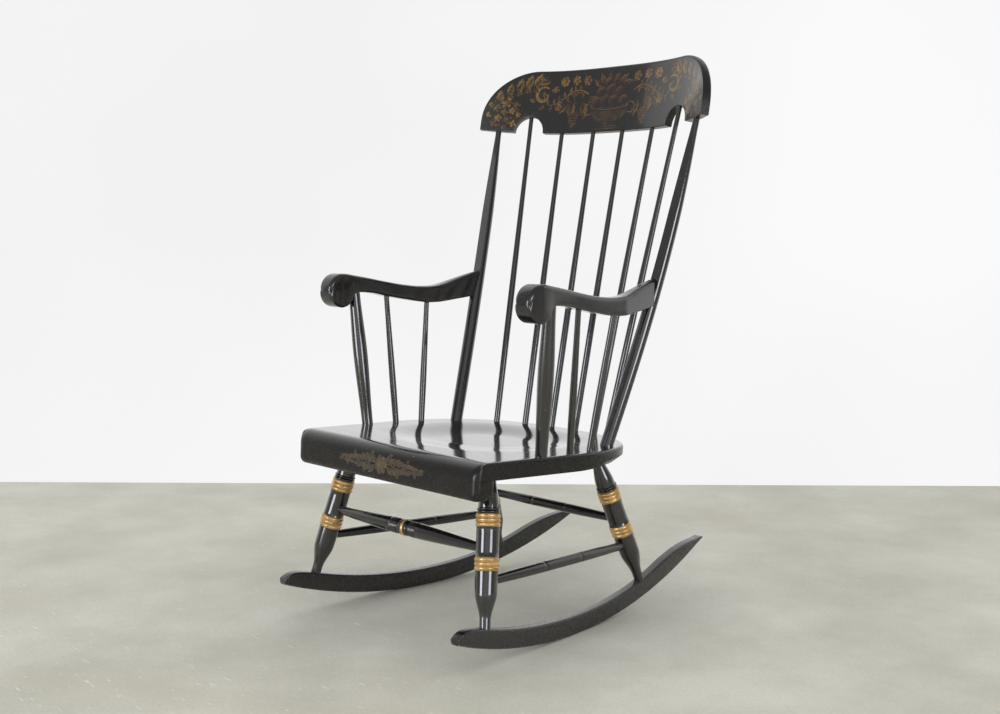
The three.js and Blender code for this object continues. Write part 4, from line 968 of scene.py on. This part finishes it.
for side in (-1, 1):
    spray.side = side
    # Two broad leaves, a smaller one and a bunch of grapes hang beside the bowl.
    for leaf in ((74, 62, -118, 36, 21, 0.3, 14, 0.8), (98, 66, -70, 38, 22, 0.15, -16, 0.85),
                 (112, 60, -28, 26, 14, 0.2, -20, 0.8)):
        spray.leaf(*leaf)
    for row, count in enumerate((3, 4, 3, 3, 2, 1)):
        for k in range(count):
            u = 92 + 7 * (k - (count - 1) / 2) + 1.5 * math.sin(3 * row)
            spray.disc(u, 40 - 5.6 * row, 4.2, 0.95 - 0.2 * ((k + row) % 3), 0.95, (-0.5, 0.8))
    # Stems wind outward with tendrils, small leaves and blossoms.
    stem = [(60 + 6.4 * i, 74 + 15 * math.sin(0.4 + i * 0.3)) for i in range(16)]
    spray.stroke(stem, [3.2, 2.6, 1.4], 0.25, 0.85)
    for tendril in ((84, 70, 15, 150, -60), (104, 74, 12, 160, -90), (127, 62, 10, 120, -120)):
        spray.stroke(arc(*tendril, 18, -0.3), [1, 2.2, 1], 0.2, 0.8)
    for i in range(2, 16):
        u, v = stem[i]
        lean, bend = (62, 16) if i % 2 else (-60, -16)
        spray.leaf(u, v, lean + 12 * math.sin(2 * i), 13 + i % 3, 6.2, 0.1 + 0.1 * (i % 3), bend, 0.9)
    for flower in ((66, 108, 11, 6, 0.35), (95, 110, 10.5, 6, 0.1), (124, 108, 11, 7, 0.0),
                   (143, 92, 7, 5, 0.3), (134, 55, 8.5, 6, 0.1)):
        spray.blossom(*flower, flower[0])
    # A C scroll with a berry at its heart opens under two curled leaves.
    spray.stroke(arc(*SCROLL_AT, 18, 130, -190, 30, -0.45), [3, 7, 8, 4], 0.0, 0.85)
    spray.disc(170, 80, 4.4, 0.9, 0.9)
    spray.leaf(163, 74, 35, 17, 9, 0.2, 24, 0.9)
    for angle in range(150, -99, -62):
        spray.leaf(*arc(*SCROLL_AT, 20, angle, angle, 1)[0], angle + 30, 14, 8, 0.15, 20, 0.9)
    spray.leaf(158, 108, 6, 34, 12, 0.1, -16, 0.9)
    spray.leaf(162, 114, 24, 20, 8, 0.3, -20, 0.8)
    # Lobed leaves stand one behind the other along the shoulder, with small buds between them.
    for i in range(5):
        s = i / 4
        u, v = mix(196, 266, s), 100 - 34 * s ** 1.8
        spray.leaf(u, v, 150 - 20 * s, 31 - 9 * s, 19 - 6 * s, 0.05, -30, 1.0)
        spray.leaf(u + 1, v - 1, 204 - 20 * s, 18 - 4 * s, 12 - 3 * s, 0.3, 24, 0.85)
        spray.disc(u - 3, v - 13, 3.2, 0.1, 0.9)
    # A round posy of small flowers inside a ring of leaves fills the end of the rail.
    for ring, (reach, count, size) in enumerate(((0, 1, 8.5), (16, 5, 9), (29, 9, 6.5))):
        for k in range(count):
            angle = 2 * math.pi * (k + ring / 3) / count
            u, v = POSY_AT[0] + reach * math.cos(angle), POSY_AT[1] + reach * 1.12 * math.sin(angle)
            if 7 < v < crest_top(u) - 8 and u < 283:
                spray.blossom(u, v, size * (0.85 + 0.3 * (k % 2)), 5 - k % 2, 0.22 * (k % 4), angle + ring,
                              0.75 + 0.25 * (k % 3))
    spray.stroke(arc(*POSY_AT, 24, 100, 230, 20, 0.1), [1, 2.4, 1], 0.1, 0.75)
    for k in range(12):
        angle = 2 * math.pi * k / 12 + 0.2
        spray.leaf(POSY_AT[0] + 22 * math.cos(angle), POSY_AT[1] + 25 * math.sin(angle),
                   math.degrees(angle) + 50, 11, 5.4, 0.35, 14 * side, 0.75)
spray.finish("crest_stencil", crest_bronze)


# Back posts
# Two maple posts turned, then steamed and bent back and outwards, with a flat shaved on the front
# above the arms. Their heads run up into the rail.

POST_SEAT_INSET = 51.5
POST_CREST_INSET = 33
POST_RADIUS = 12.5
POST_BOW_BACK = 8.7
POST_BOW_OUT = 5.6
POST_FLAT_SHARE = 0.6
POST_FLAT_START = 0.36
POST_FLAT_FULL = 0.52
POST_FLAT_END = 0.9
POST_POINTS = 48
POST_RADIUS_SHARES = [
    (0, 0.97), (0.15, 1), (0.45, 1), (0.62, 0.97), (0.71, 0.94), (0.78, 0.86), (0.85, 0.75),
    (0.92, 0.61), (0.97, 0.51), (1, 0.48),
]


def post_middle(sign, share):
    """The post's centre line, which runs on straight below its foot and up the rail above its head."""
    foot = on_seat(sign * (SEAT_HALF_WIDTH - POST_SEAT_INSET), 0)
    head = on_crest(sign * (CREST_HALF_WIDTH - POST_CREST_INSET), CREST_THICKNESS / 2)
    bow = Vector((sign * POST_BOW_OUT, POST_BOW_BACK, 0))
    point = foot.lerp(head, min(1, max(0, share))) + bow * math.sin(math.pi * min(1, max(0, share)))
    if share > 1:
        point += (on_crest(0, 0, 1) - on_crest(0, 0, 0)) * (share - 1) * (head - foot).length
    elif share < 0:
        point += ((head - foot) + bow * math.pi).normalized() * share * (head - foot).length
    return point


def post_ring(sign, share):
    tangent = (post_middle(sign, share + 1e-4) - post_middle(sign, share - 1e-4)).normalized()
    front = (Vector((0, -1, 0)) + tangent * tangent.y).normalized()
    across = tangent.cross(front)
    radius = POST_RADIUS * flowing(POST_RADIUS_SHARES, min(1, max(0, share)))
    rise = smooth((share - POST_FLAT_START) / (POST_FLAT_FULL - POST_FLAT_START))
    fall = smooth((share - POST_FLAT_END) / (1 - POST_FLAT_END))
    flat = mix(1, POST_FLAT_SHARE, rise * (1 - fall))
    ring = []
    for i in range(POST_POINTS):
        angle = 2 * math.pi * i / POST_POINTS
        forward = min(radius * math.cos(angle), flat * radius)
        ring.append(post_middle(sign, share) + front * forward + across * radius * math.sin(angle))
    return ring


def post_skin(name, sign):
    """A post, worn in patches and most along the two edges of its flat."""
    shares = [-0.02, 0] + [i / 90 for i in range(1, 91)] + [1.02]
    rings = [post_ring(sign, share) for share in shares]
    edge = round(math.acos(POST_FLAT_SHARE) / (2 * math.pi) * POST_POINTS)

    def worn(r, i):
        patch = noise.noise(in_frame(rings[r][i]) * 12 + Vector((sign * 5, 0, 0)))
        on_edge = i in (edge, POST_POINTS - edge) and 0.5 < shares[r] < 0.92
        return max(0, min(1, (0.45 if on_edge else 0.12) + 0.25 * patch))

    return skin(name, rings, worn, crease=28)


for side, sign in SIDES:
    stand_for(post_skin(f"back_post_{side}_bent", sign), f"back_post_{side}", turned_lacquer)


# Back spindles
# Six slim maple spindles, swelled low down, standing in an arc of holes in the seat. The outer two
# enter the rail inside its notches.

SPINDLE_ROW_INSET = 41
SPINDLE_ROW_DEPTH = 151
SPINDLE_ROW_CENTRE = 47
SPINDLE_SEAT_SHARES = (0.149, 0.435, 0.693)
SPINDLE_CREST_SHARES = (0.1325, 0.4105, 0.67)
SPINDLE_CREST_DEPTH = 6
SPINDLE_RADII = (6.2, 6.6, 4.5)
SPINDLE_SWELL_SHARE = 0.3
SPINDLE_TENON_LENGTH = 12


def stick(name, foot, head, radii, swell_share, streak=0.35):
    """A slim turning, swelled between its ends, with its tenons sunk in the seat and in what it holds."""
    low, swell, high = radii
    length = (head - foot).length
    at = length * swell_share
    profile = [(-SPINDLE_TENON_LENGTH, low, 0, False)]
    profile += eased((0, low), (at, swell), 0.1, 20) + eased((at, swell), (length, high), 0.1, 44)
    profile += [(length, high, 0, False), (length + SPINDLE_TENON_LENGTH, high, 0, False)]
    stand_for(turned(f"{name}_turned", profile, foot, head, 32, streak), name, turned_lacquer)


for number, place in enumerate((-3, -2, -1, 1, 2, 3)):
    sign = int(math.copysign(1, place))
    slot = abs(place) - 1
    share = SPINDLE_SEAT_SHARES[slot]
    foot = on_seat(sign * share * (SEAT_HALF_WIDTH - SPINDLE_ROW_INSET),
                   SPINDLE_ROW_DEPTH * math.sqrt(1 - share ** 2) - SPINDLE_ROW_CENTRE)
    head = on_crest(sign * CREST_HALF_WIDTH * SPINDLE_CREST_SHARES[slot], SPINDLE_CREST_DEPTH,
                    CREST_NOTCH_RADIUS if slot == 2 else 0)
    stick(f"back_spindle_{number + 1}", foot, head, SPINDLE_RADII, SPINDLE_SWELL_SHARE)


# Arms
# Two maple arms sawn and carved in an S from a thick board, with a round scroll at the front. The tail
# is coped to the post and tenoned into it. Palms have polished the top and worn the scroll's rim.

ARM_NOSE_SETBACK = 80
ARM_END_Y = 92
SCROLL_HEIGHT = 65.5
SCROLL_BOTTOM_HEIGHT = 569.5
ARM_SCROLL_OVERHANG = 13
ARM_BEND_INSET = 6
ARM_END_INSET = 1.2
ARM_BEND_SHARE = 0.7
ARM_NECK_SHARE = 0.2
ARM_COPE_SHARE = 0.997
ARM_SCROLL_WIDTH = 40
ARM_WAIST_WIDTH = 35
ARM_END_WIDTH = 16
ARM_EDGE_ROUND = 9
ARM_EDGE_POINTS = 9
SCROLL_EDGE_ROUND = 7
SCROLL_DRAW = 3
SCROLL_WORN_SHARE = 0.17
ARM_PROFILE_SHARES = [
    (0, 0.56, 0.44), (0.008, 0.7, 0.3), (0.024, 0.85, 0.15), (0.05, 0.96, 0.04), (0.077, 1, 0),
    (0.105, 0.995, 0.03), (0.132, 0.975, 0.13), (0.16, 0.945, 0.39), (0.19, 0.915, 0.43),
    (0.26, 0.84, 0.4), (0.37, 0.715, 0.27), (0.48, 0.605, 0.155), (0.58, 0.54, 0.06),
    (0.65, 0.525, 0.015), (0.7, 0.54, 0.015), (0.75, 0.59, 0.035), (0.82, 0.7, 0.075), (0.9, 0.825, 0.12),
    (1, 0.965, 0.195),
]
ARM_NOSE_Y = SEAT_FRONT - ARM_NOSE_SETBACK
ARM_LENGTH = ARM_NOSE_Y + ARM_END_Y
SCROLL_SHARE = SCROLL_HEIGHT / 2 / ARM_LENGTH


def arm_height(share, column):
    """The height of the arm's top, in column 1 of its profile, or of its underside, in column 2."""
    return SCROLL_BOTTOM_HEIGHT + SCROLL_HEIGHT * flowing(ARM_PROFILE_SHARES, share, column)


def post_at(sign, height):
    low, high = post_middle(sign, 0).z, post_middle(sign, 1).z
    return post_middle(sign, (height - low) / (high - low))


arm_bend_x = SEAT_HALF_WIDTH - ARM_BEND_INSET
arm_end_x = post_at(1, (arm_height(1, 1) + arm_height(1, 2)) / 2).x - ARM_END_INSET


def arm_centre(share):
    past = max(0, share - ARM_BEND_SHARE) / (1 - ARM_BEND_SHARE)
    before = mix(SEAT_HALF_WIDTH + ARM_SCROLL_OVERHANG, arm_bend_x, min(1, share / ARM_BEND_SHARE))
    return before + (arm_end_x - arm_bend_x) * past


def arm_width(share):
    waist = mix(ARM_SCROLL_WIDTH, ARM_WAIST_WIDTH, smooth(share / ARM_BEND_SHARE * 2))
    return mix(waist, ARM_END_WIDTH, max(0, share - ARM_BEND_SHARE) / (1 - ARM_BEND_SHARE))


def arm_section(half, top, bottom, top_round):
    """The arm's outline as (x, z) points: softly rounded above, crisper below."""
    r = min(top_round, (top - bottom) * 0.45)
    low = min(ARM_EDGE_ROUND / 2, r)
    return rounded(((half - low, bottom + low, low, -90), (half - r, top - r, r, 0),
                    (r - half, top - r, r, 90), (low - half, bottom + low, low, 180)), ARM_EDGE_POINTS)


def arm_ring(sign, share):
    top_round = mix(SCROLL_EDGE_ROUND, ARM_EDGE_ROUND, smooth((share - SCROLL_SHARE) / SCROLL_SHARE))
    section = arm_section(arm_width(share) / 2, arm_height(share, 1), arm_height(share, 2), top_round)
    y = share * ARM_LENGTH - ARM_NOSE_Y
    return [Vector((sign * arm_centre(share) + x, y, z)) for x, z in section]


def scroll_ring(sign, angle):
    """The front of the scroll: the section through its middle, folded forward about its axis."""
    narrow = SCROLL_DRAW * (1 - math.sin(angle)) ** 2
    ring = []
    for x, z in arm_section(arm_width(SCROLL_SHARE) / 2 - narrow, SCROLL_HEIGHT / 2, -SCROLL_HEIGHT / 2,
                            SCROLL_EDGE_ROUND):
        turn = math.copysign(angle, z)
        ring.append(Vector((sign * arm_centre(SCROLL_SHARE) + x,
                            SCROLL_SHARE * ARM_LENGTH - ARM_NOSE_Y - abs(z) * math.cos(turn),
                            SCROLL_BOTTOM_HEIGHT + SCROLL_HEIGHT / 2 + abs(z) * math.sin(turn))))
    return ring


# Close rings round the scroll and its neck, even ones along the arm, and one pair astride its bend.
arm_shares = [mix(SCROLL_SHARE, ARM_NECK_SHARE, i / 24) for i in range(25)]
arm_shares += [mix(ARM_NECK_SHARE, ARM_COPE_SHARE, i / 100) for i in range(1, 100)]
arm_shares = [share for share in arm_shares if abs(share - ARM_BEND_SHARE) > 0.006]
arm_shares = sorted(arm_shares + [ARM_BEND_SHARE - 0.003, ARM_BEND_SHARE + 0.003, ARM_COPE_SHARE, 1])
# Palm-polished lacquer: a thin even gloss along the top, broken at the scroll's rim.
arm_lacquer = black_lacquer("black_lacquer_palm_polished_on_arms", 0.12, 0.12, 0.5, 0.05, clear=0.55)


def arm_skin(name, sign):
    """An arm from its tail, coped to the post, to the front of its scroll."""
    fold = [0.002] + [math.pi / 2 * i / 28 for i in range(1, 28)]
    rings = [scroll_ring(sign, angle) for angle in fold]
    shares = [0] * len(fold)
    for share in arm_shares:
        ring = arm_ring(sign, share)
        behind = [point.y - post_at(sign, point.z).y for point in ring]
        if min(behind) > -1:
            break
        rings.append([point if gap < 0 else point - Vector((0, gap, 0)) for point, gap in zip(ring, behind)])
        shares.append(share)
    rings.reverse()
    shares.reverse()

    def worn(r, i):
        """Most where the scroll's flat sides meet its rim."""
        from_rim = min(abs(i - ARM_EDGE_POINTS), abs(i - 3 * ARM_EDGE_POINTS))
        rim_wear = 0.42 if shares[r] < SCROLL_WORN_SHARE and from_rim <= 2 else 0.14
        return max(0, min(1, rim_wear + 0.25 * noise.noise(in_frame(rings[r][i]) * 16)))

    return skin(name, rings, worn, crease=40)


for side, sign in SIDES:
    stand_for(arm_skin(f"arm_{side}_carved", sign), f"arm_{side}", arm_lacquer)


# Arm supports and arm spindles
# A stout turned support swelled at its middle under each scroll, and two slim spindles behind it, all
# glued into the seat and the arm.

SUPPORT_SEAT_INSET = 19
SUPPORT_SEAT_SETBACK = 157
SUPPORT_ARM_SETBACK = 69
SUPPORT_RADII = (10.8, 14.1, 11)
SUPPORT_SWELL_SHARE = 0.54
ARM_SPINDLE_SEAT_INSET = (19, 26.5)
ARM_SPINDLE_SEAT_Y = (133.5, 73)
ARM_SPINDLE_ARM_Y = (137, 38)
ARM_SPINDLE_RADII = (6.1, 6.6, 5.1)


def under_arm(sign, y):
    share = (y + ARM_NOSE_Y) / ARM_LENGTH
    return Vector((sign * arm_centre(share), y, arm_height(share, 2)))


for side, sign in SIDES:
    stick(f"arm_support_{side}",
          on_seat(sign * (SEAT_HALF_WIDTH - SUPPORT_SEAT_INSET), SUPPORT_SEAT_SETBACK - SEAT_FRONT),
          under_arm(sign, SUPPORT_ARM_SETBACK - ARM_NOSE_Y), SUPPORT_RADII, SUPPORT_SWELL_SHARE, 0.3)
    for i in range(2):
        stick(f"arm_spindle_{side}_{i + 1}",
              on_seat(sign * (SEAT_HALF_WIDTH - ARM_SPINDLE_SEAT_INSET[i]), -ARM_SPINDLE_SEAT_Y[i]),
              under_arm(sign, -ARM_SPINDLE_ARM_Y[i]), ARM_SPINDLE_RADII, SPINDLE_SWELL_SHARE)


# Floor and wall
# A sealed grey concrete floor, mottled and faintly scratched, and a plain white painted wall behind.
# This section and the next are in metres, in the CAD frame.

CAMERA_AT = Vector((1.7447, -1.7139, 0.7474))
CAMERA_TURN = math.radians(46.01)
CAMERA_DOWN = math.radians(6.28)
CAMERA_SENSOR = 36
CAMERA_LENS = 46.54
WALL_AWAY = 3.549
WALL_TURN = math.radians(-1.15)
WALL_HALF_LENGTH = 6
WALL_HEIGHT = 3.2
FLOOR_WIDTH = 9


def sheet(name, corners):
    piece = new_piece(name, corners, [tuple(range(len(corners)))])
    return piece


def seen(look):
    """Whether a ray of light is one that is looked along, straight, mirrored or through glass."""
    ray = look.add("LightPath")
    straight = look.maths("MAXIMUM", ray["Is Camera Ray"], ray["Is Glossy Ray"])
    return look.maths("MAXIMUM", straight, ray["Is Transmission Ray"])


ahead = Vector((-math.sin(CAMERA_TURN), math.cos(CAMERA_TURN), 0))
wall_foot = Vector((CAMERA_AT.x, CAMERA_AT.y, 0)) + ahead * WALL_AWAY
wall_along = Matrix.Rotation(CAMERA_TURN + WALL_TURN, 3, "Z") @ Vector((1, 0, 0))
toward = Matrix.Rotation(-math.pi / 2, 3, "Z") @ wall_along * FLOOR_WIDTH
far, near = wall_foot - wall_along * WALL_HALF_LENGTH, wall_foot + wall_along * WALL_HALF_LENGTH
wall_up = Vector((0, 0, WALL_HEIGHT))
wall = sheet("studio_wall", [far, near, near + wall_up, far + wall_up])
# The floor ends at the wall and runs out round the chair on the other sides.
floor = sheet("studio_floor", [far, far + toward, near + toward, near])

# Flat emulsion on plaster: near white, faintly uneven and without gloss. It is a cut-away wall: seen or
# mirrored it has its own even white, and from behind it is not there.
look = Look(bpy.data.materials.new("flat_white_emulsion"))
white = look.blend(look.ramp(look.cloud(0.55, 3, 0.45), 0.35, 0.65), "#F1F2F1", "#FAFAFA")
paint = look.add("BsdfDiffuse", {"Color": white})[0]
even = look.add("Emission", {"Color": white, "Strength": 1.0})[0]
face = look.add("MixShader", {0: seen(look), 1: paint, 2: even})[0]
clear = look.add("BsdfTransparent")[0]
behind = look.add("NewGeometry")["Backfacing"]
wall.data.materials.append(look.done("MixShader", {0: behind, 1: face, 2: clear}))

# Sealed concrete: cool grey with warm stains and drag marks, fine speckle, short pale scratches, a few
# dark drips and a low sheen.
look = Look(bpy.data.materials.new("sealed_grey_concrete"))
drift = look.cloud(2.6, 8, 0.62)
ground = look.blend(look.ramp(drift, 0.35, 0.65), "#BDBCB1", "#D6D5CB")
stain = look.cloud(1.3, 5, distortion=1.2)
stained = look.blend(look.ramp(stain, 0.52, 0.7, 0, 0.5), ground, "#C3BCAA")
speck = look.cloud(150, 5, 0.8)
fleck = look.ramp(speck, 0.35, 0.65, 0.93, 1.06)
speckled = look.add("VectorMath", {0: stained, "Scale": fleck}, operation="SCALE")[0]
# Short scratches in two directions: a noise drawn out seven times as long as it is wide, some 5 mm by 40.
marks = []
for turn in (0.5, 2.1):
    drawn = look.add("Mapping", {0: look.place, "Rotation": (0, 0, turn), "Scale": (26, 190, 1)})[0]
    marks.append(look.ramp(look.cloud(1, place=drawn), 0.68, 0.75))
worn_here = look.ramp(stain, 0.42, 0.56, 0.15, 0.75)
scratch = look.maths("MULTIPLY", look.maths("MAXIMUM", *marks), worn_here)
marked = look.blend(scratch, speckled, "#EDECE6")
drips = look.add("TexVoronoi", {"Vector": look.place, "Scale": 2.4})["Distance"]
dotted = look.blend(look.ramp(drips, 0.008, 0.016, 0.45, 0), marked, "#6F6C60")
floor.data.materials.append(look.done("BsdfPrincipled", {
    "Base Color": dotted, "Roughness": look.ramp(drift, 0.3, 0.7, 0.5, 0.68), "Specular IOR Level": 0.22,
    "Normal": look.bump(speck, 0.15, 0.0005),
}))


# Light and camera
# A white room with two tall windows, one in front of the chair and one at its left arm, and soft light
# from everywhere else.

MIRRORED_FRONT = (0.72, -0.69, 0)

# The room's own walls beyond the picture, seen or mirrored: white behind the camera, dimmer at its sides.
world = bpy.data.worlds.new("room_light")
bpy.context.scene.world = world
look = Look(world)
facing = look.add("VectorMath", {0: look.coordinates["Generated"], 1: MIRRORED_FRONT},
                  operation="DOT_PRODUCT")["Value"]
walls = look.blend(look.ramp(facing, 0.7, 0.98), "#A8A8A9", "#FCFDFF")
room = look.add("Background", {"Color": linear("#F5F4F0"), "Strength": 0.9})[0]
pale = look.add("Background", {"Color": walls, "Strength": 1.0})[0]
look.done("MixShader", {0: seen(look), 1: room, 2: pale}, "OutputWorld")


def window(name, bearing, away, sill, size, power, tone):
    """A window on its sill, at a bearing in degrees from +X as seen from the chair."""
    light = bpy.data.lights.new(name, "AREA")
    light.shape = "RECTANGLE"
    light.size, light.size_y = size
    light.energy = power
    light.color = linear(tone)[:3]
    lamp = bpy.data.objects.new(name, light)
    turn = math.radians(bearing)
    lamp.location = (away * math.cos(turn), away * math.sin(turn), sill + size[1] / 2)
    lamp.rotation_euler = (math.pi / 2, 0, turn + math.pi / 2)
    lamp.visible_camera = False
    bpy.context.scene.collection.objects.link(lamp)


window("window_in_front", -94, 4.5, 0.03, (1.7, 1.75), 82, "#F3F6FF")
window("window_at_left_arm", -8, 4.5, 0.25, (1.7, 1.35), 52, "#F1F5FF")

eye = bpy.data.cameras.new("camera")
eye.sensor_width = CAMERA_SENSOR
eye.lens = CAMERA_LENS
camera = bpy.data.objects.new("camera", eye)
camera.location = CAMERA_AT
camera.rotation_euler = (math.pi / 2 - CAMERA_DOWN, 0, CAMERA_TURN)
bpy.context.scene.collection.objects.link(camera)
bpy.context.scene.camera = camera
bpy.context.scene.view_settings.view_transform = "Standard"
